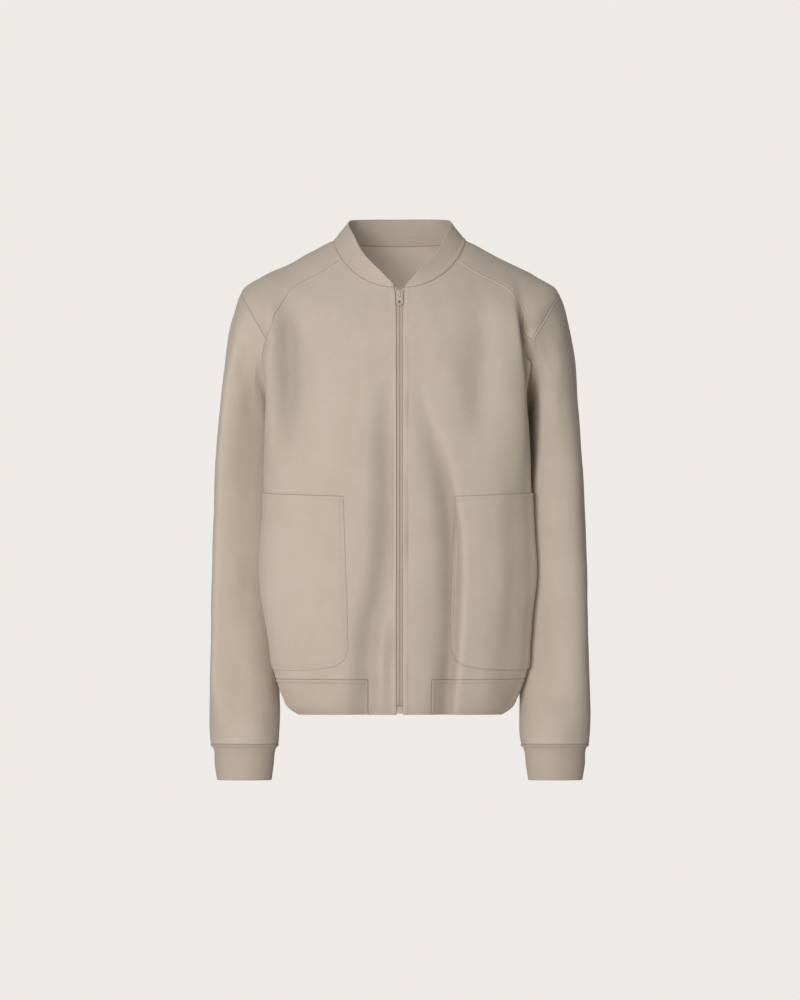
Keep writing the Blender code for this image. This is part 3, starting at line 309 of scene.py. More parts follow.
def stations(length: float, spacing: float = SPACING, start: bool = True, end: bool = True) -> Array:
    """Fractions of a length, close together at the ends that meet a seam.

    Args:
        length: length that is divided.
        spacing: distance between the others.
        start: True for close ones at the start.
        end: True for close ones at the end.

    Returns:
        Rising fractions from 0 to 1.
    """
    fine = np.array(FINE_STEPS)
    low = fine if start else fine[:1]
    high = (length - (fine if end else fine[:1]))[::-1]
    count = max(2, round((high[0] - low[-1]) / spacing) + 1)
    return np.concatenate([low[:-1], np.linspace(low[-1], high[0], count), high[1:]]) / length


def nearest(points: Array, line: Array) -> tuple[Array, Array]:
    """How far points lie from a line of points, and where along it.

    Args:
        points: array whose last axis is x, y, z.
        line: points of the line in order.

    Returns:
        Distances, and places along the line in counts of its points.
    """
    flat = points.reshape(-1, points.shape[-1])
    distance = np.empty(len(flat))
    place = np.empty(len(flat))
    for start in range(0, len(flat), 8000):
        part = flat[start:start + 8000]
        square = (part**2).sum(1)[:, None] - 2 * part @ line.T + (line**2).sum(1)[None]
        k = square.argmin(1)
        best = np.full(len(part), np.inf)
        where = np.zeros(len(part))
        for first in (k - 1, k):
            a = np.clip(first, 0, len(line) - 2)
            along = line[a + 1] - line[a]
            f = np.clip(((part - line[a]) * along).sum(1) / np.maximum((along**2).sum(1), 1e-16), 0, 1)
            far = np.linalg.norm(part - line[a] - along * f[:, None], axis=1)
            closer = far < best
            best[closer] = far[closer]
            where[closer] = (a + f)[closer]
        distance[start:start + 8000] = best
        place[start:start + 8000] = where
    return distance.reshape(points.shape[:-1]), place.reshape(points.shape[:-1])


def sample(values: Array, place: Array) -> Array:
    """Values between a line's points.

    Args:
        values: one row for each point.
        place: places counted in those points.

    Returns:
        A row for each place.
    """
    low = np.clip(place.astype(int), 0, len(values) - 2)
    part = (place - low)[..., None]
    return values[low] * (1 - part) + values[low + 1] * part


def resample(values: Array, known: Array, wanted: Array) -> Array:
    """Rows of values at the wanted places, from the rows at the known ones."""
    return np.stack([np.interp(wanted, known, column) for column in values.T], 1)


def running(steps: Array) -> Array:
    """Sums of the steps so far, from nought."""
    return np.concatenate([[0.0], np.cumsum(steps)])


def run_length(line: Array) -> Array:
    """Distance along a line to each of its points."""
    return running(np.linalg.norm(np.diff(line, axis=0), axis=1))


def straight(start: Array, end: Array, parts: Array) -> Array:
    """Points on a straight line at parts of its length."""
    return start + (end - start) * parts[:, None]


def looped(line: Array) -> Array:
    """A ring's points with the first one again at the end."""
    return np.concatenate([line, line[:1]])


def join_halves(left: Array, right: Array) -> Array:
    """Lines or grids of the left and right half that meet at the centre back, as one."""
    return np.concatenate([left, right[..., ::-1, :][..., 1:, :]], -2)


def patch(first: Array, last: Array, low: Array, high: Array,
          rows: Array, cols: Array) -> Array:
    """Fills a four-sided patch from its sides.

    Args:
        first: points of the first column.
        last: points of the last column.
        low: points of the first row.
        high: points of the last row.
        rows: parts of the way up.
        cols: parts of the way across.

    Returns:
        Points by row and column.
    """
    a, b = rows[:, None, None], cols[None, :, None]
    return ((1 - b) * first[:, None] + b * last[:, None] + (1 - a) * low[None] + a * high[None]
            - (1 - a) * (1 - b) * low[0] - (1 - a) * b * low[-1] - a * (1 - b) * high[0] - a * b * high[-1])


class Side(Enum):
    """Side of the garment as seen from its front."""

    LEFT = -1
    RIGHT = 1

    @property
    def tag(self) -> str:
        """Ending of the names of the pieces on this side."""
        return "l" if self is Side.LEFT else "r"


class BodyForm:
    """The body as half rings from the centre front (u = 0) to the centre back (u = 1)."""

    def __init__(self, levels: int = 241, places: int = 401, steps: int = 801) -> None:
        """Tables the way round.

        Args:
            levels: heights of the table.
            places: its places round each half ring.
            steps: points of the rings that it is taken from.
        """
        self.levels = np.linspace(V_HEM, 1.0, levels)
        self.us = np.linspace(0.0, 1.0, places)
        turns = np.linspace(0.0, 2.0, steps)
        self.turns = {}
        for side in Side:
            rows = []
            for ring in self.at_turn(turns[None, :], self.levels[:, None], side):
                run = run_length(ring)
                rows.append(np.interp(self.us * run[-1], run, turns))
            self.turns[side] = np.array(rows)

    @staticmethod
    def at_turn(turn: Array, v: Array, side: Side) -> Array:
        """Points of the form by turn: 0 centre front, 1 the side, 2 centre back.

        Args:
            turn: turns, of any shape that goes with v.
            v: heights up the garment.
            side: which half.

        Returns:
            Points, x, y, z on the last axis.
        """
        turn, v = np.broadcast_arrays(turn, v)
        rows = smooth_rows(RINGS, v.ravel()).reshape(v.shape + (12,))
        zf, zs, zb, x0, half_l, half_r, yf, ys, yb, qf, qb, dent = np.moveaxis(rows, -1, 0)
        half = half_r if side is Side.RIGHT else half_l
        front = turn <= 1.0
        angle = np.clip(np.where(front, turn, turn - 1.0), 0.0, 1.0) * math.pi / 2
        s, c = np.sin(angle), np.maximum(np.cos(angle), 0.0)
        behind = half_r + (half - half_r) * c**6
        x = np.where(front, x0 + (half - x0) * s**qf, behind * c**qb)
        y = np.where(front, ys + (yf - ys) * c**qf, ys + (yb - ys) * s**qb)
        z = np.where(front, zs + (zf - zs) * c**RING_FALL, zs + (zb - zs) * s**RING_FALL)
        x = x - dent * np.exp(-((y - DENT_Y) / DENT_SPREAD)**2)
        return np.stack([x * side.value, y, z], -1)

    def points(self, u: Array, v: Array, side: Side) -> Array:
        """Points of the form.

        Args:
            u: parts of the way round the half ring, of any shape that goes with v.
            v: heights up the garment.
            side: which half.

        Returns:
            Points, x, y, z on the last axis.
        """
        u, v = np.broadcast_arrays(np.asarray(u, float), np.asarray(v, float))
        row = np.clip((v - V_HEM) / (1.0 - V_HEM), 0.0, 1.0) * (len(self.levels) - 1)
        col = np.clip(u, 0.0, 1.0) * (len(self.us) - 1)
        i = np.clip(row.astype(int), 0, len(self.levels) - 2)
        j = np.clip(col.astype(int), 0, len(self.us) - 2)
        a, b = row - i, col - j
        table = self.turns[side]
        turn = ((table[i, j] * (1 - b) + table[i, j + 1] * b) * (1 - a)
                + (table[i + 1, j] * (1 - b) + table[i + 1, j + 1] * b) * a)
        return self.at_turn(turn, v, side)

    def outward(self, u: Array, v: Array, side: Side) -> Array:
        """Directions out of the form.

        Args:
            u: parts of the way round the half ring, of any shape that goes with v.
            v: heights up the garment.
            side: which half.

        Returns:
            Directions, x, y, z on the last axis.
        """
        u, v = np.broadcast_arrays(np.asarray(u, float), np.asarray(v, float))
        across = (self.points(np.minimum(u + SLOPE_STEP, 1), v, side)
                  - self.points(np.maximum(u - SLOPE_STEP, 0), v, side))
        up = (self.points(u, np.minimum(v + SLOPE_STEP, 1), side)
              - self.points(u, np.maximum(v - SLOPE_STEP, V_HEM), side))
        return unit(np.cross(across, up)) * side.value

    def front_line(self, v: float) -> tuple[Array, Array, Array]:
        """The middle of the opening.

        Args:
            v: height up the garment.

        Returns:
            The point there, the way up and the way out of the cloth.
        """
        here = self.points(0.0, v, Side.RIGHT)
        up = (self.points(0.0, min(v + SLOPE_STEP, 1.0), Side.RIGHT)
              - self.points(0.0, max(v - SLOPE_STEP, V_HEM), Side.RIGHT))
        up[0] = 0.0
        up = unit(up)
        out = np.cross(np.array([1.0, 0.0, 0.0]), up)
        out = out if out[1] < 0 else -out
        here[0] = 0.0
        return here, up, out

    @staticmethod
    def v_at_z(z: float) -> float:
        """Height parameter at which the centre front has this z."""
        vs = np.linspace(V_HEM, 1.0, 600)
        return float(np.interp(z, smooth_rows(RINGS, vs)[:, 0], vs))


def front_u(v: Array) -> Array:
    """Outer edge of a front, by height."""
    return smooth_rows(FRONT_EDGE, np.ravel(v), tight=True)[:, 0].reshape(np.shape(v))


def band_flare(v: Array) -> Array:
    """How many times wider than by its fraction a part of the front is below the hem seam."""
    return 1.0 + BAND_FLARE * np.clip(np.asarray(v) / V_HEM, 0.0, 1.0)**1.5


def band_end(v: Array) -> Array:
    """Where the hem band ends, by height."""
    return BAND_END * front_u(v) * band_flare(v)


def back_u(v: Array) -> Array:
    """Outer edge of the back, by height."""
    return smooth_rows(BACK_EDGE, np.ravel(v), tight=True)[:, 0].reshape(np.shape(v))


# ---- drape
@dataclass(frozen=True)
class Crease:
    """A soft trough or ridge along a line seen square from the front or the back."""

    deep: float
    left: float
    right: float
    line: tuple
    facing: int

    def heights(self, points: Array, normals: Array, most: float = 1.0) -> Array:
        """How far the cloth moves out at each point.

        Args:
            points: places on the cloth.
            normals: directions out of it.
            most: the furthest that the crease may reach to a side.

        Returns:
            Distances, below 0 in a trough.
        """
        line = np.array(self.line)
        track = smooth_line(line, TRACK_POINTS)
        end = TRACK_POINTS - 1.0
        seen = points[..., [0, 2]]
        distance, place = nearest(seen, track)
        off = seen - sample(track, place)
        way = sample(track, np.clip(place + 0.5, 0, end)) - sample(track, np.clip(place - 0.5, 0, end))
        side = way[..., 0] * off[..., 1] - way[..., 1] * off[..., 0]
        on_right = np.where(way[..., 1] < 0, side > 0, side < 0)
        wide = np.minimum(np.where(on_right, self.right, self.left), most)
        fade = END_FADE if np.linalg.norm(line[-1] - line[0]) > LONG_CREASE else SLOW_FADE
        taper = rise(place, 0.0, end * END_FADE) * rise(end - place, 0.0, end * fade)
        facing = rise(normals[..., 1] * self.facing, *FACING)
        return self.deep * np.exp(-(distance / wide)**2) * taper * facing


def smooth_line(line: Array, count: int) -> Array:
    """A smooth curve through a few points, as evenly counted points."""
    run = run_length(line)
    table = np.concatenate([(run / run[-1])[:, None], line], 1)
    return smooth_rows(table, np.linspace(0, 1, count))


class Drape:
    """How the cloth hangs away from its even form: creases and slow waves, calm at some seams."""

    def __init__(self, creases: list[Crease], calm: list[tuple[Array, tuple[float, float]]],
                 amount: float = 0.00028, seed: int = 7, folds: tuple = ()) -> None:
        """Draws the waves.

        Args:
            creases: the placed creases.
            calm: lines, each with the distances between which the drape comes back.
            amount: height of the slow waves.
            seed: start of the waves' random draw.
            folds: creases that run on close to the seams.
        """
        self.creases = creases
        self.calm = calm
        self.folds = folds
        draw = np.random.default_rng(seed)
        self.waves = []
        for length, part in WAVES:
            for _ in range(WAVES_EACH):
                way = draw.normal(size=3) * np.array(WAVE_WAYS)
                way = way / np.linalg.norm(way) * 2 * math.pi / length
                self.waves.append((way, draw.uniform(0, 2 * math.pi), amount * part))

    def heights(self, points: Array, normals: Array) -> Array:
        """How far the cloth stands off its form.

        Args:
            points: places on the cloth.
            normals: directions out of it.

        Returns:
            A distance for each point.
        """
        total = np.zeros(points.shape[:-1])
        for way, phase, height in self.waves:
            total += height * np.sin(points @ way + phase)
        for crease in self.creases:
            total += crease.heights(points, normals)
        deep = sum((fold.heights(points, normals) for fold in self.folds), np.zeros(points.shape[:-1]))
        for line, (low, high) in self.calm:
            distance = nearest(points, line)[0]
            total *= rise(distance, low, high)
            deep *= rise(distance, low, low + FOLD_CLEAR)
        return total + deep

    def hollows(self, points: Array, normals: Array) -> Array:
        """How much of a trough's full shade falls on the cloth.

        Args:
            points: places on the cloth.
            normals: directions out of it.

        Returns:
            For each point a number from 0 to 1.
        """
        total = np.zeros(points.shape[:-1])
        for crease in (*self.creases, *self.folds):
            if crease.deep < 0:
                total -= crease.heights(points, normals, HOLLOW_REACH)
        for line, (low, high) in self.calm:
            total *= rise(nearest(points, line)[0], low, high)
        return np.clip(total / FULL_HOLLOW, 0.0, 1.0)


# ---- cloth
@dataclass
class Edge:
    """A line at which a piece of cloth ends, in a seam or a fold."""

    line: Array
    welt: object = 0.0          # height of the allowance beside it, one or one a point
    wide: float = 0.0045        # distance to its row of stitches
    pucker: float = 0.00010
    dark: float = 0.08          # how much darker the cloth is painted right beside it, as painted shade
    row: float = 0.0            # how much darker it is painted along its row of stitches, as painted shade
    shared: Array | None = None    # direction both pieces are pushed in at a seam that turns

    def heights(self, distance: Array, place: Array, start: float) -> Array:
        """Welt, stitched groove and pucker beside the edge.

        Args:
            distance: from the edge.
            place: along it, in counts of its points.
            start: phase of the pucker.

        Returns:
            Heights to add to the cloth's face.
        """
        along = sample(run_length(self.line)[:, None], place)[..., 0]
        total = np.zeros(distance.shape)
        if np.any(self.welt):
            welt = self.welt
            if isinstance(welt, Array):
                welt = sample(welt[:, None], place)[..., 0]
            total += welt * np.sin(math.pi * np.clip(distance / self.wide, 0.0, 1.0))**0.7
            total -= GROOVE_DEEP * welt * np.exp(-((distance - self.wide) / GROOVE_WIDE)**2)
        sway = PUCKER_SWAY * np.sin(along / PUCKER_DRIFT + start)
        pull = np.sin(2 * math.pi * along / PUCKER_PITCH + start + sway)
        near = np.exp(-(distance / PUCKER_REACH)) * rise(distance, 0.0, PUCKER_START)
        return total + self.pucker * pull * near


@dataclass
class Panel:
    """A piece of cloth: a closed shell about a grid of points."""

    name: str
    grid: Array
    normal: Array
    thick: float
    edges: list[Edge]
    drape: Drape
    closed: bool = False        # the last column meets the first
    keep: Array | None = None      # which of the grid's squares are cloth
    lift: object = 0.0          # distance off the form, one or one a point
    seed: float = 0.0
    near: list = field(default_factory=list)
    outer: Array | None = None
    inner: Array | None = None
    # painted shade beside the edges and stitch rows, and in crease troughs
    painted_seam_shade: Array | None = None
    hollow: Array | None = None
    inside: float = 0.0         # painted shade on its inner face, as a part of a trough's full painted shade

    def shape(self) -> None:
        """Works out both faces of the cloth from its grid, edges and drape."""
        normal = self.normal.copy()
        closest = np.full(self.grid.shape[:2], np.inf)
        relief = np.zeros(self.grid.shape[:2])
        painted_seam_shade = np.zeros(self.grid.shape[:2])
        for number, edge in enumerate(self.edges):
            distance, place = nearest(self.grid, edge.line)
            self.near.append(distance)
            closest = np.minimum(closest, distance)
            # painted shade: a darker line right beside each edge and along its row of stitches
            painted_seam_shade = np.maximum(painted_seam_shade, edge.dark * (1.0 - np.clip(distance / SEAM_SHADE, 0.0, 1.0)))
            painted_seam_shade = np.maximum(painted_seam_shade, edge.row * np.exp(-((distance - edge.wide) / ROW_SHADE)**2))
            relief += edge.heights(distance, place, self.seed + number * EDGE_PHASE)
            if edge.shared is not None:
                part = (1.0 - rise(distance, 0.0, TURN_REACH))[..., None]
                normal = unit(normal * (1 - part) + unit(sample(edge.shared, place)) * part)
        self.normal = normal
        height = self.drape.heights(self.grid, normal) + self.lift
        self.hollow = self.drape.hollows(self.grid, normal)
        level = rise(self.grid[..., 2:], LEVEL_LOW, LEVEL_HIGH)
        push = unit(normal * np.concatenate([np.ones(normal.shape[:2] + (2,)), level], 2))
        base = self.grid + push * height[..., None]
        half = self.thick / 2
        bend = np.clip(closest / half, 0.0, 1.0)
        body = half * np.sqrt(np.maximum(1.0 - (1.0 - bend)**2, 0.0)) + LEAST_HALF
        self.outer = base + normal * (relief + body)[..., None]
        self.inner = base + normal * (INNER_RELIEF * relief - body)[..., None]
        self.painted_seam_shade = painted_seam_shade

    def make(self) -> Piece:
        """Builds the shell.

        Returns:
            The object, with a UV map in metres and each point's shade beside seams and in hollows.
        """
        rows, cols = self.grid.shape[:2]
        count = rows * cols
        ids = np.arange(count).reshape(rows, cols)
        j0 = np.arange(cols if self.closed else cols - 1)
        j1 = (j0 + 1) % cols
        quads = np.stack([ids[:-1][:, j0], ids[:-1][:, j1], ids[1:][:, j1], ids[1:][:, j0]], -1)
        ring = np.concatenate([self.grid, self.grid[:, :1]], 1) if self.closed else self.grid
        across = running(np.linalg.norm(np.diff(ring, axis=1), axis=2).mean(0))
        up = running(np.linalg.norm(np.diff(self.grid, axis=0), axis=2).mean(1))
        low, left = np.meshgrid(up[:-1], across[j0], indexing="ij")
        high, right = np.meshgrid(up[1:], across[j0 + 1], indexing="ij")
        uvs = np.stack([np.stack(corner, -1) for corner in (
            (left, low), (right, low), (right, high), (left, high))], 2)
        if self.keep is not None:
            quads, uvs = quads[self.keep], uvs[self.keep]
        quads, uvs = quads.reshape(-1, 4), uvs.reshape(-1, 4, 2)
        a, b, d = (self.grid.reshape(-1, 3)[quads[:, k]] for k in (0, 1, 3))
        lean = (np.cross(b - a, d - a) * self.normal.reshape(-1, 3)[quads[:, 0]]).sum()
        if lean < 0:
            quads, uvs = quads[:, ::-1], uvs[:, ::-1]
        starts, ends = quads, np.roll(quads, -1, axis=1)
        key, back = starts.astype(np.int64) * count + ends, ends.astype(np.int64) * count + starts
        open_edge = ~np.isin(key.ravel(), back.ravel())
        tail, head = starts.ravel()[open_edge], ends.ravel()[open_edge]
        uv_tail = uvs.reshape(-1, 2)[open_edge]
        uv_head = np.roll(uvs, -1, axis=1).reshape(-1, 2)[open_edge]
        rim = np.stack([head, tail, tail + count, head + count], -1)
        faces = np.concatenate([quads, quads[:, ::-1] + count, rim])
        corners = np.concatenate([uvs, uvs[:, ::-1], np.stack([uv_head, uv_tail, uv_tail, uv_head], 1)])
        verts = np.concatenate([self.outer.reshape(-1, 3), self.inner.reshape(-1, 3)])
        used, faces = np.unique(faces, return_inverse=True)
        obj = mesh_object(self.name + "_cloth", verts[used], faces.reshape(-1, 4))
        layer = obj.data.uv_layers.new(name="Cut")
        layer.data.foreach_set("uv", corners.reshape(-1).astype(np.float32))
        # painted shade as point attributes: beside seams and stitch rows, in troughs and on inner faces
        for name, face, back in (("seam", self.painted_seam_shade, self.painted_seam_shade),
                                 ("hollow", self.hollow, np.maximum(self.hollow, self.inside))):
            values = np.concatenate([face.ravel(), back.ravel()])[used]
            layer = obj.data.attributes.new(name, "FLOAT", "POINT")
            layer.data.foreach_set("value", values.astype(np.float32))
        return obj

    def trace(self, edge: int, axis: int, from_end: bool = False) -> tuple[Array, Array]:
        """The row of stitches along one of its edges.

        Args:
            edge: number of the edge.
            axis: grid axis that leads away from the edge.
            from_end: True if the edge is at that axis's end.

        Returns:
            Points of the outer face in order along the other axis, and the directions out there.
        """
        distance = self.edges[edge].wide
        near, outer, normal = self.near[edge], self.outer, self.normal
        if axis == 1:
            near, outer, normal = near.T, outer.transpose(1, 0, 2), normal.transpose(1, 0, 2)
        if from_end:
            near, outer, normal = near[::-1], outer[::-1], normal[::-1]
        crossed = (near[:-1] < distance) & (near[1:] >= distance)
        lines = np.nonzero(crossed.any(0) & (near[0] < distance))[0]
        k = crossed[:, lines].argmax(0)
        part = ((distance - near[k, lines]) / (near[k + 1, lines] - near[k, lines]))[:, None]
        points = outer[k, lines] * (1 - part) + outer[k + 1, lines] * part
        return points, unit(normal[k, lines] * (1 - part) + normal[k + 1, lines] * part)

    def area(self) -> float:
        """Area of one face of the cloth as it hangs."""
        corner = self.grid[:-1, :-1]
        size = np.linalg.norm(np.cross(self.grid[1:, :-1] - corner, self.grid[:-1, 1:] - corner), axis=2)
        return float(size[self.keep].sum() if self.keep is not None else size.sum())


def mesh_object(name: str, verts: Array, faces: Array) -> Piece:
    """A smooth-shaded object from points and faces of equal size.

    Args:
        name: the object's name.
        verts: its points.
        faces: point numbers, one row a face.

    Returns:
        The object, linked to the scene.
    """
    mesh = bpy.data.meshes.new(name)
    mesh.vertices.add(len(verts))
    mesh.vertices.foreach_set("co", np.ascontiguousarray(verts, np.float32).ravel())
    size = faces.shape[1]
    mesh.loops.add(faces.size)
    mesh.loops.foreach_set("vertex_index", np.ascontiguousarray(faces, np.int32).ravel())
    mesh.polygons.add(len(faces))
    mesh.polygons.foreach_set("loop_start", np.arange(0, faces.size, size, dtype=np.int32))
    mesh.update(calc_edges=True)
    mesh.shade_smooth()
    obj = bpy.data.objects.new(name, mesh)
    bpy.context.scene.collection.objects.link(obj)
    return obj


def grid_normals(grid: Array, closed: bool, middle: Array) -> Array:
    """Directions out of a grid, away from a middle line.

    Args:
        grid: points by row and column.
        closed: True if the last column meets the first.
        middle: for each row, a point that the grid goes round.

    Returns:
        A direction for each point.
    """
    if closed:
        wide = np.concatenate([grid[:, -2:], grid, grid[:, :2]], 1)
        across = np.gradient(wide, axis=1)[:, 2:-2]
    else:
        across = np.gradient(grid, axis=1)
    found = unit(np.cross(across, np.gradient(grid, axis=0)))
    lean = ((grid - middle[:, None]) * found).sum()
    return found if lean > 0 else -found


# ---- finishes
class Weave(Enum):
    """Which way the small relief of a cloth runs."""

    KNIT = "knit"
    RIB = "rib"
    TWILL = "twill"


@dataclass(frozen=True)
class ClothFinish:
    """Brushed sweat cloth: knit columns and courses, marled colour, and painted shade beside seams, along
    stitch rows, in crease troughs and on inner faces.

    Lengths are metres on the piece's own UV map.
    """

    name: str
    colour: tuple
    weave: Weave = Weave.KNIT
    wale: float = 0.0011
    course: float = 0.0008
    depth: float = 0.00010
    mottle: float = 0.07
    sheen: float = 0.22
    rough: float = 0.92
    shaded: float = 0.20        # how much darker the bottom of a trough is painted, as painted shade

    def material(self) -> Material:
        """Makes the node material.

        Returns:
            The material.
        """
        made, tree, shader = start_material(self.name, {
            "Roughness": self.rough, "Sheen Weight": self.sheen, "Sheen Roughness": 0.55,
            "Sheen Tint": (1.0, 0.95, 0.89, 1.0), "Specular IOR Level": 0.22})
        uv = node(tree, "ShaderNodeUVMap", uv_map="Cut").outputs["UV"]
        place = node(tree, "ShaderNodeTexCoord").outputs["Object"]
        columns = wave(tree, uv, "X", self.wale, 1.2)
        way, wobble = ("DIAGONAL", 0.5) if self.weave is Weave.TWILL else ("Y", 2.0)
        knit = weighted(tree, (columns, 0.62), (wave(tree, uv, way, self.course, wobble), 0.38))
        fuzz = noise(tree, place, 900.0, 3.0)
        yarn = noise(tree, stretched(tree, uv, (70.0, 620.0, 1.0)), 1.0, 4.0)
        cloud = noise(tree, place, 26.0, 3.0)
        patches = noise(tree, place, 7.0, 2.0)
        relief(tree, shader, weighted(tree, (knit, 0.75), (fuzz, 0.25)), 0.55, self.depth)
        tint = colour_ramp(tree, weighted(tree, (yarn, 0.40), (cloud, 0.35), (patches, 0.25)), (
            (0.30, shade(self.colour, 1.0 - self.mottle, 0.006)),
            (0.50, shade(self.colour, 1.0)),
            (0.70, shade(self.colour, 1.0 + self.mottle, -0.006))))
        # painted shade: darker beside seams, along stitch rows, in crease troughs and on inner faces
        seam, hollow = (node(tree, "ShaderNodeAttribute", attribute_name=name).outputs["Fac"]
                        for name in ("seam", "hollow"))
        light = math_node(tree, "MULTIPLY", math_node(tree, "SUBTRACT", 1.0, seam),
                          math_node(tree, "MULTIPLY_ADD", hollow, -self.shaded, 1.0))
        grey = node(tree, "ShaderNodeCombineColor", {channel: light for channel in ("Red", "Green", "Blue")})
        painted_shade_tint = node(tree, "ShaderNodeMix", {"Factor": 1.0, "A": tint, "B": grey.outputs["Color"]},
                    data_type="RGBA", blend_type="MULTIPLY")
        feed(tree, shader, {"Base Color": painted_shade_tint.outputs["Result"]})
        vary_rough(tree, shader, cloud, self.rough - 0.06, self.rough + 0.05)
        return made


@dataclass(frozen=True)
class ThreadFinish:
    """Spun polyester thread, twisted along the stitch."""

    name: str = "thread"
    colour: tuple = (0.610, 0.520, 0.432)

    def material(self) -> Material:
        """Makes the node material.

        Returns:
            The material.
        """
        made, tree, shader = start_material(self.name, {"Roughness": 0.6, "Sheen Weight": 0.15})
        place = node(tree, "ShaderNodeTexCoord").outputs["Object"]
        relief(tree, shader, noise(tree, place, 2600.0, 2.0), 0.4, 0.00008)
        tint = two_tones(tree, noise(tree, place, 140.0, 2.0), self.colour, 0.93, 1.06)
        feed(tree, shader, {"Base Color": tint})
        return made


@dataclass(frozen=True)
class MouldedFinish:
    """Dyed nylon or painted metal of the zip, slightly rubbed where it stands proud."""

    name: str
    colour: tuple
    rough: float
    metal: float = 0.0
    coat: float = 0.0
    grain: float = 700.0

    def material(self) -> Material:
        """Makes the node material.

        Returns:
            The material.
        """
        made, tree, shader = start_material(self.name, {
            "Roughness": self.rough, "Metallic": self.metal, "Coat Weight": self.coat,
            "Coat Roughness": 0.35})
        place = node(tree, "ShaderNodeTexCoord").outputs["Object"]
        fine = noise(tree, place, self.grain, 3.0)
        tint = two_tones(tree, noise(tree, place, 60.0, 2.0), self.colour, 0.92, 1.07)
        proud = node(tree, "ShaderNodeNewGeometry").outputs["Pointiness"]
        rubbed = node(tree, "ShaderNodeMapRange", {"Value": proud, "From Min": 0.52, "From Max": 0.62})
        mixed = node(tree, "ShaderNodeMix", {
            "Factor": rubbed.outputs["Result"], "A": tint, "B": shade(self.colour, 1.25)}, data_type="RGBA")
        feed(tree, shader, {"Base Color": mixed.outputs["Result"]})
        vary_rough(tree, shader, fine, self.rough - 0.08, self.rough + 0.10)
        relief(tree, shader, fine, 0.25, 0.00004)
        return made


def start_material(name: str, inputs: dict) -> tuple:
    """A material with its Principled shader.

    Args:
        name: of the material.
        inputs: the shader's numbers and colours by the input's name.

    Returns:
        The material, its node tree and the shader.
    """
    made = bpy.data.materials.new(name)
    made.use_nodes = True
    shader = made.node_tree.nodes["Principled BSDF"]
    feed(made.node_tree, shader, inputs)
    return made, made.node_tree, shader


def feed(tree: Tree, target: bpy.types.Node, inputs: dict) -> None:
    """Sets or links a node's inputs.

    Args:
        tree: the node's tree.
        target: the node.
        inputs: numbers, colours and sockets, by the input's name or number.
    """
    for name, value in inputs.items():
        if isinstance(value, Socket):
            tree.links.new(value, target.inputs[name])
        else:
            target.inputs[name].default_value = value


def node(tree: Tree, kind: str, inputs: dict | None = None, **settings: object) -> bpy.types.Node:
    """Adds a node.

    Args:
        tree: where it goes.
        kind: its type.
        inputs: what its inputs take, as in feed.
        **settings: its other settings, which come first.

    Returns:
        The node.
    """
    made = tree.nodes.new(kind)
    for name, value in settings.items():
        setattr(made, name, value)
    feed(tree, made, inputs or {})
    return made


def math_node(tree: Tree, operation: str, *values: object) -> Socket:
    """Adds a Math node over sockets and numbers and returns its output."""
    return node(tree, "ShaderNodeMath", dict(enumerate(values)), operation=operation).outputs["Value"]


def weighted(tree: Tree, *parts: tuple[Socket, float]) -> Socket:
    """Adds up values.

    Args:
        tree: where the nodes go.
        *parts: each value with its weight.

    Returns:
        Their weighted sum.
    """
    (value, weight), *rest = parts
    if not rest:
        return math_node(tree, "MULTIPLY", value, weight)
    return math_node(tree, "MULTIPLY_ADD", value, weight, weighted(tree, *rest))


def noise(tree: Tree, place: Socket, scale: float, detail: float) -> Socket:
    """Adds a noise texture and returns its value."""
    return node(tree, "ShaderNodeTexNoise", {
        "Scale": scale, "Detail": detail, "Vector": place}).outputs["Fac"]


def stretched(tree: Tree, place: Socket, scale: tuple) -> Socket:
    """Coordinates scaled by axis."""
    return node(tree, "ShaderNodeMapping", {"Scale": scale, "Vector": place}).outputs["Vector"]


def wave(tree: Tree, place: Socket, way: str, period: float, wobble: float) -> Socket:
    """Adds fine bands of a period in metres and returns their value."""
    return node(tree, "ShaderNodeTexWave", {
        "Scale": 2 * math.pi / (20 * period), "Distortion": wobble, "Detail": 1.0, "Detail Scale": 0.35,
        "Vector": place}, wave_type="BANDS", bands_direction=way).outputs["Fac"]


def relief(tree: Tree, shader: bpy.types.Node, height: Socket, strength: float, distance: float) -> None:
    """Gives a shader small relief.

    Args:
        tree: the material's nodes.
        shader: the shader.
        height: from 0 to 1.
        strength: how much of it shows.
        distance: height of the relief in metres.
    """
    bump = node(tree, "ShaderNodeBump", {"Strength": strength, "Distance": distance, "Height": height})
    feed(tree, shader, {"Normal": bump.outputs["Normal"]})


def vary_rough(tree: Tree, shader: bpy.types.Node, value: Socket, low: float, high: float) -> None:
    """Lets a value from 0 to 1 move a shader's roughness from low to high."""
    spread = node(tree, "ShaderNodeMapRange", {"Value": value, "To Min": low, "To Max": high})
    feed(tree, shader, {"Roughness": spread.outputs["Result"]})


def colour_ramp(tree: Tree, value: Socket, stops: tuple) -> Socket:
    """Adds a colour ramp.

    Args:
        tree: where it goes.
        value: what it is read by.
        stops: places and colours.

    Returns:
        Its colour.
    """
    made = node(tree, "ShaderNodeValToRGB", {"Fac": value})
    ramp = made.color_ramp
    while len(ramp.elements) < len(stops):
        ramp.elements.new(0.5)
    for element, (place, colour) in zip(ramp.elements, stops):
        element.position = place
        element.color = colour
    return made.outputs["Color"]


def two_tones(tree: Tree, value: Socket, colour: tuple, dark: float, light: float) -> Socket:
    """A colour that a value moves between darker and lighter."""
    return colour_ramp(tree, value, ((0.35, shade(colour, dark)), (0.65, shade(colour, light))))


def shade(colour: tuple, light: float, warm: float = 0.0) -> tuple:
    """A colour made lighter or darker and warmer, with alpha."""
    return (colour[0] * light + warm, colour[1] * light, colour[2] * light - warm, 1.0)


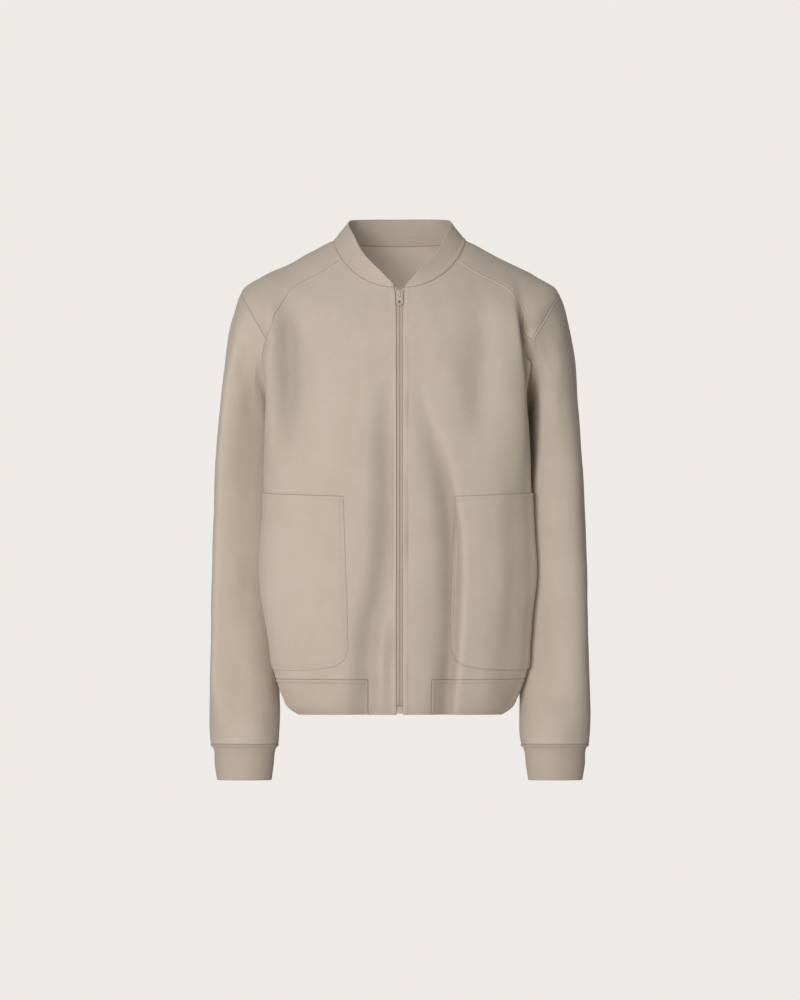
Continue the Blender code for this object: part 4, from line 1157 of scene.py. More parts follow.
# ---- shared lines
class Pattern:
    """The garment's seam lines, and the direction in which both pieces are pushed at each."""

    def __init__(self, form: BodyForm) -> None:
        """Places the lines.

        Args:
            form: the body's form.
        """
        self.form = form
        up = np.linspace(V_UNDERARM, V_TIP, 61)
        top = smooth_rows(ARMHOLE_TOP, np.linspace(0.0, 1.0, 121))
        self.arm_u = np.concatenate([front_u(up)[:-1], top[:, 0], back_u(up[::-1])[1:]])
        self.arm_v = np.concatenate([up[:-1], top[:, 1], up[::-1][1:]])
        self.arm_top = 120
        self.middle = np.array([form.front_line(v)[0] for v in np.linspace(V_HEM, 1.0, 160)])
        self.neck_u = np.linspace(0.0, 1.0, 161)

    def line(self, u: object, v: object, side: Side) -> Array:
        """Points of the form along a seam."""
        return self.form.points(np.asarray(u, float), np.asarray(v, float), side)

    def armhole(self, side: Side) -> Array:
        """The armhole from the underarm up the front, over the shoulder and down the back."""
        return self.line(self.arm_u, self.arm_v, side)

    def neck(self, side: Side) -> Array:
        """Half the neck seam from the front to the centre back."""
        return self.line(self.neck_u, 1.0, side)

    def whole_neck(self) -> Array:
        """The neck seam from the left front round the back to the right front."""
        return join_halves(self.neck(Side.LEFT), self.neck(Side.RIGHT))


def oval_rows(row: Array, angles: Array, square: tuple = (0.0, 0.0, 0.0)) -> Array:
    """Points of a sleeve's ring at angles; 0 is the outer side and 90 degrees the front.

    Args:
        row: x and z of the outer side and of the inner side, y of the front and back.
        angles: one for each point.
        square: how far the outer front, inner front and back corners are filled out.

    Returns:
        A point for each angle.
    """
    x_out, z_out, x_in, z_in, y_front, y_back = row
    along, ahead = np.cos(angles), np.sin(angles)
    full = np.where(ahead > 0, np.where(along > 0, square[0], square[1]), square[2])
    along, ahead = along * (1 + full * ahead**2), ahead * (1 + full * along**2)
    return np.stack([(x_out + x_in) / 2 + (x_out - x_in) / 2 * along,
                     (y_front + y_back) / 2 + (y_front - y_back) / 2 * ahead,
                     (z_out + z_in) / 2 + (z_out - z_in) / 2 * along], -1)


# ---- sewing
@dataclass
class Stitching:
    """Rows of lockstitch, from one stitch that is modelled once."""

    long: float = 0.0026
    thick: float = 0.00055
    pitch: float = 0.0032
    lying: float = 0.62         # part of a stitch that lies on the cloth
    verts: Array | None = None
    tris: Array | None = None

    def model(self) -> None:
        """Models one stitch: a six-sided thread whose ends dip into the cloth."""
        bpy.ops.object.select_all(action="DESELECT")
        bpy.ops.mesh.primitive_cylinder_add(vertices=6, radius=self.thick / 2, depth=self.long * self.lying,
                                            rotation=(0.0, math.pi / 2, 0.0))
        obj = bpy.context.object
        bpy.ops.object.transform_apply(location=True, rotation=True, scale=True)
        pick_faces(obj, lambda centre, normal: abs(normal.x) > 0.9)
        bpy.ops.mesh.inset(thickness=self.thick * 0.22)
        bpy.ops.transform.resize(value=(1.0 / self.lying, 1.0, 1.0), center_override=(0.0, 0.0, 0.0))
        bpy.ops.transform.translate(value=(0.0, 0.0, -self.thick * 0.30))
        bpy.ops.object.mode_set(mode="OBJECT")
        self.verts, self.tris = take_mesh(obj)

    def sew(self, name: str, rows: list, finish: Material) -> Piece:
        """Copies the stitch along rows.

        Args:
            name: of the object.
            rows: (points, directions out) of each row.
            finish: the thread's material.

        Returns:
            One object of all the rows.
        """
        frames = []
        for points, out in rows:
            run = run_length(points)
            count = int(run[-1] / self.pitch)
            at = (np.arange(count) + 0.5) * run[-1] / max(count, 1)
            place = np.interp(at, run, np.arange(len(points)))
            here = sample(points, place)
            last = len(points) - 1.0
            along = unit(sample(points, np.clip(place + 0.4, 0, last))
                         - sample(points, np.clip(place - 0.4, 0, last)))
            normal = sample(out, place)
            across = unit(np.cross(normal, along))
            normal = np.cross(along, across)
            frames.append((here + normal * self.thick * 0.22, np.stack([along, across, normal], 1)))
        places, axes = (np.concatenate(parts) for parts in zip(*frames))
        return copies(name, self.verts, self.tris, places, axes, finish)


def copies(name: str, verts: Array, tris: Array, places: Array, axes: Array,
           finish: Material) -> Piece:
    """One object of many copies of a small shape.

    Args:
        name: of the object.
        verts: the shape's points.
        tris: its triangles.
        places: where each copy's middle goes.
        axes: for each copy the directions of the shape's x, y and z.
        finish: its material.

    Returns:
        The object.
    """
    points = places[:, None] + np.einsum("nk,mkj->mnj", verts, axes)
    faces = tris[None] + (np.arange(len(places)) * len(verts))[:, None, None]
    obj = mesh_object(name, points.reshape(-1, 3), faces.reshape(-1, 3))
    obj.data.materials.append(finish)
    return obj


def pick_faces(obj: Piece, wanted: object) -> None:
    """Enters edit mode with the faces that pass a test selected.

    Args:
        obj: the object, which is active.
        wanted: test of a face's centre and normal.
    """
    bpy.ops.object.mode_set(mode="EDIT")
    bpy.ops.mesh.select_mode(type="FACE")
    bpy.ops.mesh.select_all(action="DESELECT")
    bpy.ops.object.mode_set(mode="OBJECT")
    for face in obj.data.polygons:
        face.select = bool(wanted(face.center, face.normal))
    bpy.ops.object.mode_set(mode="EDIT")


def take_mesh(obj: Piece) -> tuple[Array, Array]:
    """Takes an object's shape and removes it.

    Args:
        obj: the object.

    Returns:
        Its points and its triangles.
    """
    mesh = obj.data
    mesh.calc_loop_triangles()
    verts = np.array([v.co[:] for v in mesh.vertices])
    tris = np.array([t.vertices[:] for t in mesh.loop_triangles])
    bpy.data.objects.remove(obj, do_unlink=True)
    return verts, tris


# ---- body
@dataclass
class Body:
    """Fronts, back, yokes and hem band, all on the one form."""

    form: BodyForm
    pattern: Pattern
    drape: Drape
    placket: float = 0.0073         # from each seam to its row of stitches
    yoke_row: float = 0.0050
    hem_row: float = 0.0053
    yoke_welt: tuple = (0.00035, 0.00060)       # left, right
    end_welt: tuple = (0.0005, 0.0)             # of the front beside the band's ends
    hem_welt: float = 0.00060
    neck_shared: dict = field(default_factory=dict)
    arm_shared: dict = field(default_factory=dict)

    def part(self, u: object, v: object, side: Side, **sizes: object) -> Edge:
        """An edge along a line of the form."""
        return Edge(self.pattern.line(u, v, side), **sizes)

    def neck_edge(self, side: Side, low: float, high: float) -> Edge:
        """Part of the neck seam, between two fractions round it."""
        us = np.linspace(low, high, 60)
        shared = resample(self.neck_shared[side], self.pattern.neck_u, us)
        return self.part(us, 1.0, side, shared=unit(shared), pucker=0.00006)

    def arm_edge(self, side: Side, low: int, high: int) -> Edge:
        """Part of the armhole, between two of its points."""
        span = slice(low, high + 1)
        return Edge(self.pattern.armhole(side)[span], shared=self.arm_shared[side][span], pucker=0.00012,
                    dark=ARM_DARK[side.value])

    def level_line(self, start: float, v: float, count: int) -> Array:
        """A line at one height round the back.

        Args:
            start: where it begins on each half.
            v: its height.
            count: points on each half.

        Returns:
            Its points, the left half's and then the right half's backwards.
        """
        left, right = (self.pattern.line(np.linspace(start, 1.0, count), v, side) for side in Side)
        return np.concatenate([left, right[::-1]])

    def panel(self, name: str, u: Array, v: Array, side: Side, edges: list[Edge],
              **more: object) -> Panel:
        """A piece of cloth that lies on one half of the form.

        Args:
            name: without the side.
            u: parts of the way round, by row and column.
            v: heights that go with them.
            side: which half.
            edges: its edges.
            **more: its other fields.

        Returns:
            The panel.
        """
        more.setdefault("thick", CLOTH)
        return Panel("%s_%s" % (name, side.tag), self.form.points(u, v, side), self.form.outward(u, v, side),
                     edges=edges, drape=self.drape, **more)

    def front(self, side: Side) -> Panel:
        """A front, with the strip that runs down between the ends of the hem band.

        Args:
            side: which front.

        Returns:
            Its panel.
        """
        strip, wide = stations(STRIP_WIDE), stations(FRONT_WIDE, start=False)
        s = np.concatenate([strip * BAND_END, BAND_END + wide[1:] * (1 - BAND_END)])
        low = V_HEM + stations(BAND_HIGH, end=False) * -V_HEM
        v = np.concatenate([low, stations(BODY_HIGH)[1:]])
        keep = np.ones((len(v) - 1, len(s) - 1), bool)
        keep[:len(low) - 1, len(strip) - 1:] = False
        right = side is Side.RIGHT
        edges = [
            self.part(0.0, np.linspace(V_HEM, 1.0, 240), side, welt=0.0006, wide=self.placket,
                      pucker=0.00005),
            self.part(np.linspace(0, band_end(V_HEM), 16), V_HEM, side, pucker=0.0, dark=0.0),
            self.part(band_end(END_V), END_V, side, welt=self.end_welt[right], wide=self.hem_row,
                      pucker=0.00005, dark=0.20),
            self.part(np.linspace(band_end(0.0), front_u(0.0), 100), 0.0, side, pucker=0.00012, dark=0.18),
            self.part(front_u(SIDE_V), SIDE_V, side, pucker=0.00006),
            self.arm_edge(side, 0, 60),
            self.part(front_u(YOKE_V), YOKE_V, side, welt=self.yoke_welt[right], wide=self.yoke_row,
                      dark=0.16),
            self.neck_edge(side, 0.0, float(front_u(1.0))),
        ]
        u = s[None, :] * (front_u(v) * band_flare(v))[:, None]
        return self.panel("front", u, v[:, None], side, edges, keep=keep, seed=0.4 + side.value)

    def across(self, edge: Array, v: Array, fine: Array) -> tuple[Array, Array]:
        """Rows that run from the left edge round the back to the right edge.

        Args:
            edge: for each row the part of the way round at which it starts and ends.
            v: heights of the rows.
            fine: parts of each half row.

        Returns:
            Points by row and column, and the directions out there.
        """
        u = edge[:, None] + (1.0 - edge[:, None]) * fine[None, :]
        left, right = (self.form.points(u, v[:, None], side) for side in Side)
        out_l, out_r = (self.form.outward(u, v[:, None], side) for side in Side)
        middle = unit(out_l[:, -1:] + out_r[:, -1:])
        return join_halves(left, right), np.concatenate([out_l[:, :-1], middle, out_r[:, ::-1][:, 1:]], 1)

    def back(self) -> Panel:
        """The back, from the hem seam to the neck.

        Returns:
            Its panel.
        """
        v = stations(BODY_HIGH)
        grid, out = self.across(back_u(v), v, stations(BACK_HALF, end=False))
        edges = [Edge(self.level_line(back_u(0.0), 0.0, 100), pucker=0.00012)]
        for side in Side:
            edges += [self.part(back_u(SIDE_V), SIDE_V, side, pucker=0.00006), self.arm_edge(side, 180, 240),
                      self.part(back_u(YOKE_V), YOKE_V, side, welt=0.0004, wide=self.yoke_row),
                      self.neck_edge(side, float(back_u(1.0)), 1.0)]
        # its inner face gets a little painted shade
        return Panel("back", grid, out, CLOTH, edges, self.drape, seed=2.2, inside=0.2)

    def yoke(self, side: Side) -> Panel:
        """A shoulder yoke.

        Args:
            side: which shoulder.

        Returns:
            Its panel; rows run from the armhole to the neck, columns from front to back.
        """
        rows, cols = stations(YOKE_HIGH), stations(YOKE_WIDE)
        v = V_TIP + (1.0 - V_TIP) * rows**0.9
        front, back = (np.stack([edge(v), v], 1) for edge in (front_u, back_u))
        arm = smooth_rows(ARMHOLE_TOP, cols)
        neck = np.stack([front[-1, 0] + (back[-1, 0] - front[-1, 0]) * cols, np.ones(len(cols))], 1)
        u, v = np.moveaxis(patch(front, back, arm, neck, rows, cols), -1, 0)
        welt = self.yoke_welt[1] if side is Side.RIGHT else 0.0
        edges = [self.arm_edge(side, 60, 180),
                 self.part(front_u(YOKE_V), YOKE_V, side, welt=welt, wide=self.yoke_row, dark=0.16),
                 self.part(back_u(YOKE_V), YOKE_V, side),
                 self.neck_edge(side, float(front_u(1.0)), float(back_u(1.0)))]
        return self.panel("yoke", u, v, side, edges, seed=1.3 * side.value)

    def hem(self) -> Panel:
        """The hem band, from the left front round the back to the right front.

        Returns:
            Its panel.
        """
        v = V_HEM + stations(BAND_HIGH) * -V_HEM
        grid, out = self.across(band_end(v), v, stations(BAND_HALF, end=False))
        ends = band_end(END_V)
        edges = [
            Edge(self.level_line(band_end(0.0), 0.0, 200), welt=self.hem_welt, wide=self.hem_row,
                 pucker=0.00016, dark=0.18, row=0.15),
            self.part(ends, END_V, Side.LEFT, pucker=0.00005, dark=0.20),
            self.part(ends, END_V, Side.RIGHT, welt=0.0006, wide=self.hem_row, pucker=0.00005, dark=0.22,
                      row=0.12),
            Edge(self.level_line(band_end(V_HEM), V_HEM, 200), pucker=0.0, dark=0.0),
        ]
        return Panel("hem_band", grid, out, CLOTH, edges, self.drape, seed=3.1)


@dataclass
class Pocket:
    """A patch pocket on a front, rounded at its lower inner corner and entered at the side."""

    body: Body
    row: float = 0.0060
    welt: tuple = (0.00010, 0.00045)        # left, right
    dark: tuple = ((0.24, 0.06, 0.40), (0.24, 0.40, 0.34))      # painted shade beside the lower, inner and top edge, left then right
    sink: tuple = (0.00125, 0.00180)        # how far the sewn edges lie in, left, right
    slope: tuple = (0.011, 0.0038)          # over what distance
    gape: float = 0.0028
    gape_reach: float = 0.055
    mouth: tuple = (0.170, 0.400)           # heights between which it stands open

    def panel(self, side: Side) -> Panel:
        """The pocket's cloth.

        Args:
            side: which front it lies on.

        Returns:
            The panel; its grid runs up from the lower edge and out from the inner one.
        """
        rows, cols, ts = stations(POCKET_HIGH), stations(POCKET_WIDE), np.linspace(0, 1, 100)
        inner, lower = smooth_rows(POCKET_INNER, rows), smooth_rows(POCKET_LOWER, cols)
        corner = np.array(POCKET_OUTER_TOP)
        top = straight(np.array(POCKET_INNER[-1][1:]), corner, cols)
        outer = straight(lower[-1], corner, rows)
        u, v = np.moveaxis(patch(inner, outer, lower, top, rows, cols), -1, 0)
        right = side is Side.RIGHT
        runs = (smooth_rows(POCKET_LOWER, ts), smooth_rows(POCKET_INNER, ts), straight(top[0], top[-1], ts))
        edges = [self.body.part(*run.T, side, welt=self.welt[right], wide=self.row, pucker=0.00010, dark=dark)
                 for run, dark in zip(runs, self.dark[right])]
        edges.append(self.body.part(*straight(lower[-1], corner, ts).T, side, welt=0.0003, wide=0.012,
                                    pucker=0.0))
        panel = self.body.panel("pocket", u, v, side, edges, thick=POCKET_CLOTH, seed=4.0 + side.value)
        sewn = np.minimum.reduce([nearest(panel.grid, edge.line)[0] for edge in edges[:2]])
        open_side = nearest(panel.grid, edges[3].line)[0]
        low, high = self.mouth
        open_part = np.sin(math.pi * np.clip((v - low) / (high - low), 0, 1))**0.8
        panel.lift = (CLOTH / 2 + POCKET_LIFT + POCKET_CLOTH / 2
                      - self.sink[right] * (1 - rise(sewn, 0.0, self.slope[right]))
                      + self.gape * open_part * (1 - rise(open_side, 0.0, self.gape_reach)))
        return panel


# ---- sleeves, cuffs, collar
@dataclass
class Sleeve:
    """A set-in sleeve and its cuff."""

    pattern: Pattern
    side: Side
    columns: int = 126
    steep: float = 3.2          # slope at which the cloth goes back beside the body
    soft: float = 0.0018        # rounding where it starts to
    corner_in: float = 0.006    # it starts this far behind the front
    arm_fade: float = 0.050     # the turn fades towards the armhole
    corner_fade: float = 0.030  # and so does the corner
    wrist_fade: float = 0.075
    turned: tuple = (-0.3, 0.5)         # how far round to the front the turn comes in,
    set_back: tuple = (0.0, 0.12)       # and the corner
    inner: tuple = (-0.004, 0.002)      # and how far in from the middle
    arm_row: float = 0.0042
    roll: float = 0.00075       # welt of the cuff's seam
    cuff_row: float = 0.0049
    sleeve: Panel | None = None
    cuff: Panel | None = None
    shared: Array | None = None

    def build(self) -> None:
        """Makes both panels and the directions shared at the armhole."""
        side = self.side.value
        mirror = np.array([side, 1.0, 1.0])
        loop = self.pattern.armhole(self.side)
        run = run_length(loop)
        top = self.pattern.arm_top
        known = np.where(np.arange(len(run)) <= top, math.pi * (1 - run / run[top]),
                         -math.pi * (run - run[top]) / (run[-1] - run[top]))
        at = np.arange(self.columns) / self.columns * run[-1]
        angles = np.interp(at, run, known)
        square = np.array(SLEEVE_SQUARE[side])
        head = oval_rows(smooth_rows(SLEEVE_RINGS, 0.0)[0], angles, square)
        spare = resample(loop, run, at) - head * mirror
        grid = []
        for w in stations(SLEEVE_LONG):
            fade = max(0.0, 1.0 - w / HEAD_FADE)**2
            part = rise(np.array(w), *WRIST_ROUND)
            ring = oval_rows(smooth_rows(SLEEVE_RINGS, w)[0], angles, part * square)
            grid.append(ring * mirror + spare * fade)
        grid = self.turn(np.array(grid), angles, loop)
        cuff = np.array([oval_rows(smooth_rows(CUFF_RINGS, w)[0], angles) * mirror
                         for w in stations(CUFF_LONG)])
        out, cuff_out = (grid_normals(rings, True, rings.mean(1)) for rings in (grid, cuff))
        body_out = self.pattern.form.outward(self.pattern.arm_u, self.pattern.arm_v, self.side)
        sleeve_out = resample(looped(out[0]), np.append(at, run[-1]), run)
        self.shared = unit(body_out + unit(sleeve_out))
        wrist, wrist_out = looped(cuff[0]), looped(unit(out[-1] + cuff_out[0]))
        creases = [Crease(*sizes, facing) for facing, sizes in SLEEVE_CREASES[side]]
        drape = Drape(creases, [(loop, CALM_SEAM), (wrist, CALM_SEAM)], seed=20 + side)
        self.sleeve = Panel("sleeve_" + self.side.tag, grid, out, CLOTH, [
            Edge(loop, shared=self.shared, pucker=0.00014, dark=ARM_DARK[side], welt=ARM_WELT[side],
                 wide=self.arm_row),
            Edge(wrist, shared=wrist_out, pucker=0.00012, dark=0.16)], drape, closed=True, seed=5.0 + side)
        still = Drape([], [(wrist, CALM_SEAM)], amount=0.00016, seed=30 + side)
        self.cuff = Panel("cuff_" + self.side.tag, cuff, cuff_out, RIB, [
            Edge(wrist, welt=self.roll, wide=self.cuff_row, shared=wrist_out, pucker=0.00014, dark=0.18,
                 row=0.10),
            Edge(looped(cuff[-1]), pucker=0.0, dark=0.0)], still, closed=True, seed=6.0 + side)

    def turn(self, grid: Array, angles: Array, loop: Array) -> Array:
        """Turns the sleeve's front towards the body and sets its inner front corner back.

        Args:
            grid: points by row and column.
            angles: of the columns.
            loop: the armhole.

        Returns:
            The moved points.
        """
        side = self.side.value
        depth, reach = -grid[..., 2], np.abs(grid[..., 0])
        beside = reach - reach.mean(1, keepdims=True)
        ahead = np.sin(angles)[None]
        from_arm = nearest(grid, loop)[0]
        far = rise(from_arm, 0.0, self.arm_fade) * rise(nearest(grid, grid[-1])[0], 0.0, self.wrist_fade)
        slopes, pivot, shifts = SLEEVE_TURN[side]
        slope, shift = (np.interp(depth, TURN_DEPTHS, row) for row in (slopes, shifts))
        y = grid[..., 1] - (slope * (beside + pivot) + shift) * far * rise(ahead, *self.turned)
        corner, strength = smooth_rows(SLEEVE_CORNER[side], depth.ravel(), tight=True).T
        corner, strength = corner.reshape(reach.shape), strength.reshape(reach.shape)
        start = y.min(1, keepdims=True) + self.corner_in
        middle = (grid[..., 1].min(1, keepdims=True) + grid[..., 1].max(1, keepdims=True)) / 2
        plane = np.minimum(start + (corner - reach) * self.steep, middle)
        deeper = 0.5 * (y + plane + np.sqrt((y - plane)**2 + self.soft**2)) - y
        inner = rise(ahead, *self.set_back) * rise(-beside, *self.inner)
        y = y + deeper * inner * strength * rise(from_arm, 0.0, self.corner_fade)
        return np.stack([grid[..., 0], y, grid[..., 2]], -1)


@dataclass
class Collar:
    """A stand collar of cloth folded double, tapering to the top of the zip."""

    pattern: Pattern
    welt: tuple = (0.00018, 0.00085)        # left, right
    welt_turn: tuple = (120, 200)           # points of the neck seam between which it changes
    row: float = 0.0058
    draw_in: float = 0.0024
    panel: Panel | None = None
    shared: dict = field(default_factory=dict)

    def half(self, side: Side, us: Array, ts: Array) -> Array:
        """One half, from the neck seam up.

        Args:
            side: which half.
            us: parts of the way round.
            ts: parts of the way up.

        Returns:
            Points by row and column.
        """
        base = self.pattern.line(us, 1.0, side)[None]
        top = smooth_rows(COLLAR_TOP, us)[None] * np.array([side.value, 1.0, 1.0])
        grid = base + (top - base) * ts[:, None, None]
        out = grid * np.array([1.0, 1.0, 0.0])
        return grid + unit(out) * (COLLAR_BULGE * np.sin(math.pi * ts))[:, None, None]

    def build(self) -> None:
        """Makes the panel and the directions shared at the neck seam."""
        us, ts = stations(COLLAR_HALF, end=False), stations(COLLAR_HIGH)
        grid = join_halves(*(self.half(side, us, ts) for side in Side))
        out = grid_normals(grid, False, np.zeros((len(ts), 3)))
        count = len(us)
        known = self.pattern.neck_u
        for side, row in ((Side.LEFT, out[0, :count]), (Side.RIGHT, out[0, count - 1:][::-1])):
            body_out = self.pattern.form.outward(known, 1.0, side)
            self.shared[side] = unit(unit(resample(row, us, known)) + body_out)
        seam = self.pattern.whole_neck()
        both = join_halves(self.shared[Side.LEFT], self.shared[Side.RIGHT])
        heights = np.interp(np.arange(len(seam)), (0, *self.welt_turn, len(seam) - 1),
                            np.repeat(self.welt, 2))
        edges = [Edge(seam, welt=heights, wide=self.row, shared=both, pucker=0.00008, dark=0.14)]
        edges += [Edge(line.copy(), pucker=0.0, dark=0.0) for line in (grid[-1], grid[:, 0], grid[:, -1])]
        drape = Drape([], [(seam, CALM_COLLAR)], amount=0.00022, seed=41)
        # its inner face gets most of a trough's painted shade
        self.panel = Panel("collar", grid, out, RIB, edges, drape, seed=7.0, inside=0.8)
        self.panel.lift = -self.draw_in * np.sin(math.pi * ts)[:, None]**0.7


# ---- zip
@dataclass
class Zip:
    """Tapes, the two halves of the chain, and the finish of the slider, pull and box."""

    form: BodyForm
    body: Body
    pitch: float = 0.0014
    tooth: float = 0.00064
    overlap: float = 0.00022    # the heads reach this far past the middle
    first: float = 0.0006       # from the box to the first tooth
    part_z: tuple = (-0.0800, -0.0770, -0.0700, -0.0664)    # where the chain parts above the slider,
    parted: tuple = (0.0, 0.0010, 0.0024, 0.0036)           # and how far each half stands aside
    tape_z: tuple = (-0.080, -0.070, -0.064)    # where the tapes part
    slider_low: tuple = (-0.0900, -0.0870)      # behind the slider they lie flat,
    slider_top: tuple = (-0.0655, -0.0685)      # from the first to the second
    tape_thick: float = 0.0007
    tape_in: float = 0.00022    # from the middle to each tape's folded edge
    tape_under: float = 0.0090
    fold: float = 0.0007
    high: float = 0.0017        # the folded edges stand this much above the rest of the tape
    slope: float = 0.26
    behind: float = 0.0008
    top_z: float = -0.0668

    def tape(self, side: Side) -> Panel:
        """A woven tape behind a front's edge.

        Args:
            side: which front.

        Returns:
            Its panel; columns run from the middle of the zip outwards.
        """
        bottom = BodyForm.v_at_z(ZIP_BOTTOM_Z + BOX_LONG)
        v = bottom + stations(TAPE_LONG, spacing=0.004, start=False, end=False) * (1.0 - bottom)
        edge = self.form.points(0.0, v, side)
        across = unit(self.form.points(SLOPE_STEP, v, side) - edge)
        inner = np.interp(edge[:, 2], self.tape_z, (self.tape_in, 0.0030, 0.0052))[:, None]
        covered = np.abs(edge[:, :1])
        under = np.array([-0.0001, 0.0003, 0.0010, 0.0030, 0.0060, self.tape_under])
        place = np.concatenate([inner + (covered - self.fold - inner) * np.linspace(0.0, 1.0, 9),
                                covered + under], 1)
        reach = place - covered
        grid = edge[:, None] + across[:, None] * reach[..., None]
        out = self.form.outward(np.maximum(reach, 0.0) / 0.45, v[:, None], side)
        edges = [Edge(grid[:, 0].copy(), pucker=0.0), Edge(grid[:, -1].copy(), pucker=0.0)]
        panel = Panel("zip_tape_" + side.tag, grid, out, self.tape_thick, edges, self.body.drape)
        proud = self.high - self.slope * place
        over = proud - proud * rise(reach, -self.fold, 0.0003)
        slider = rise(edge[:, 2:], *self.slider_low) * rise(edge[:, 2:], *self.slider_top)
        panel.lift = -TAPE_DEPTH + over * (1 - slider)
        return panel

    def chain(self, side: Side, finish: Material) -> Piece:
        """Half of the chain: closed below the slider, parted above it.

        Args:
            side: which half.
            finish: material of the teeth.

        Returns:
            One object of all its teeth.
        """
        verts, tris = self.model_tooth()
        low = ZIP_BOTTOM_Z + BOX_LONG + self.first
        shift = 0.5 * self.pitch if side is Side.RIGHT else 0.0
        way = np.array([side.value, 0.0, 0.0])
        places, axes = [], []
        for z in np.arange(low + shift, self.top_z, self.pitch):
            here, up, out = self.form.front_line(BodyForm.v_at_z(z))
            apart = np.interp(z, self.part_z, self.parted)
            middle = (CHAIN_HALF - self.overlap) / 2 + apart
            places.append(here - out * (TAPE_DEPTH + self.behind) + way * middle)
            axes.append(np.stack([way, up, np.cross(way, up)]))
        return copies("zip_coil_" + side.tag, verts, tris, np.array(places), np.array(axes), finish)

    def model_tooth(self) -> tuple[Array, Array]:
        """Models one turn of the coil, its head thicker than its leg.

        Returns:
            Its points and its triangles.
        """
        long = CHAIN_HALF + 0.00025
        bpy.ops.object.select_all(action="DESELECT")
        bpy.ops.mesh.primitive_cylinder_add(vertices=6, radius=0.5, depth=1.0,
                                            rotation=(0.0, math.pi / 2, 0.0))
        obj = bpy.context.object
        bpy.ops.object.transform_apply(location=True, rotation=True, scale=True)
        for vertex in obj.data.vertices:
            vertex.co = (vertex.co.x * long * 0.72, vertex.co.y * self.tooth * 0.82,
                         vertex.co.z * CHAIN_THICK * 0.86)
        pick_faces(obj, lambda centre, normal: normal.x < -0.9)
        bpy.ops.mesh.extrude_region_move(TRANSFORM_OT_translate={"value": (-long * 0.16, 0.0, 0.0)})
        bpy.ops.transform.resize(value=(1.0, 1.35, 1.16))
        bpy.ops.mesh.extrude_region_move(TRANSFORM_OT_translate={"value": (-long * 0.10, 0.0, 0.0)})
        bpy.ops.transform.resize(value=(1.0, 0.55, 0.62))
        bpy.ops.object.mode_set(mode="OBJECT")
        pick_faces(obj, lambda centre, normal: normal.x > 0.9)
        bpy.ops.mesh.inset(thickness=self.tooth * 0.2)
        bpy.ops.transform.translate(value=(long * 0.06, 0.0, 0.0))
        bpy.ops.object.mode_set(mode="OBJECT")
        return take_mesh(obj)

    def dress_metal(self, nodes: dict, finish: Material) -> None:
        """Softens and paints the slider, pull and box, whose shapes come from the frame.

        Args:
            nodes: the frame's objects by name.
            finish: their material.
        """
        for name, width in (("zip_slider", 0.00022), ("zip_pull", 0.00024), ("zip_box", 0.0005)):
            obj = nodes[name]
            obj.data.materials.clear()
            obj.data.materials.append(finish)
            weld = obj.modifiers.new("weld", "WELD")
            weld.merge_threshold = 0.00001
            bevel = obj.modifiers.new("bevel", "BEVEL")
            bevel.width = width
            bevel.segments = 3
            bevel.limit_method = "ANGLE"
            bevel.angle_limit = math.radians(40)


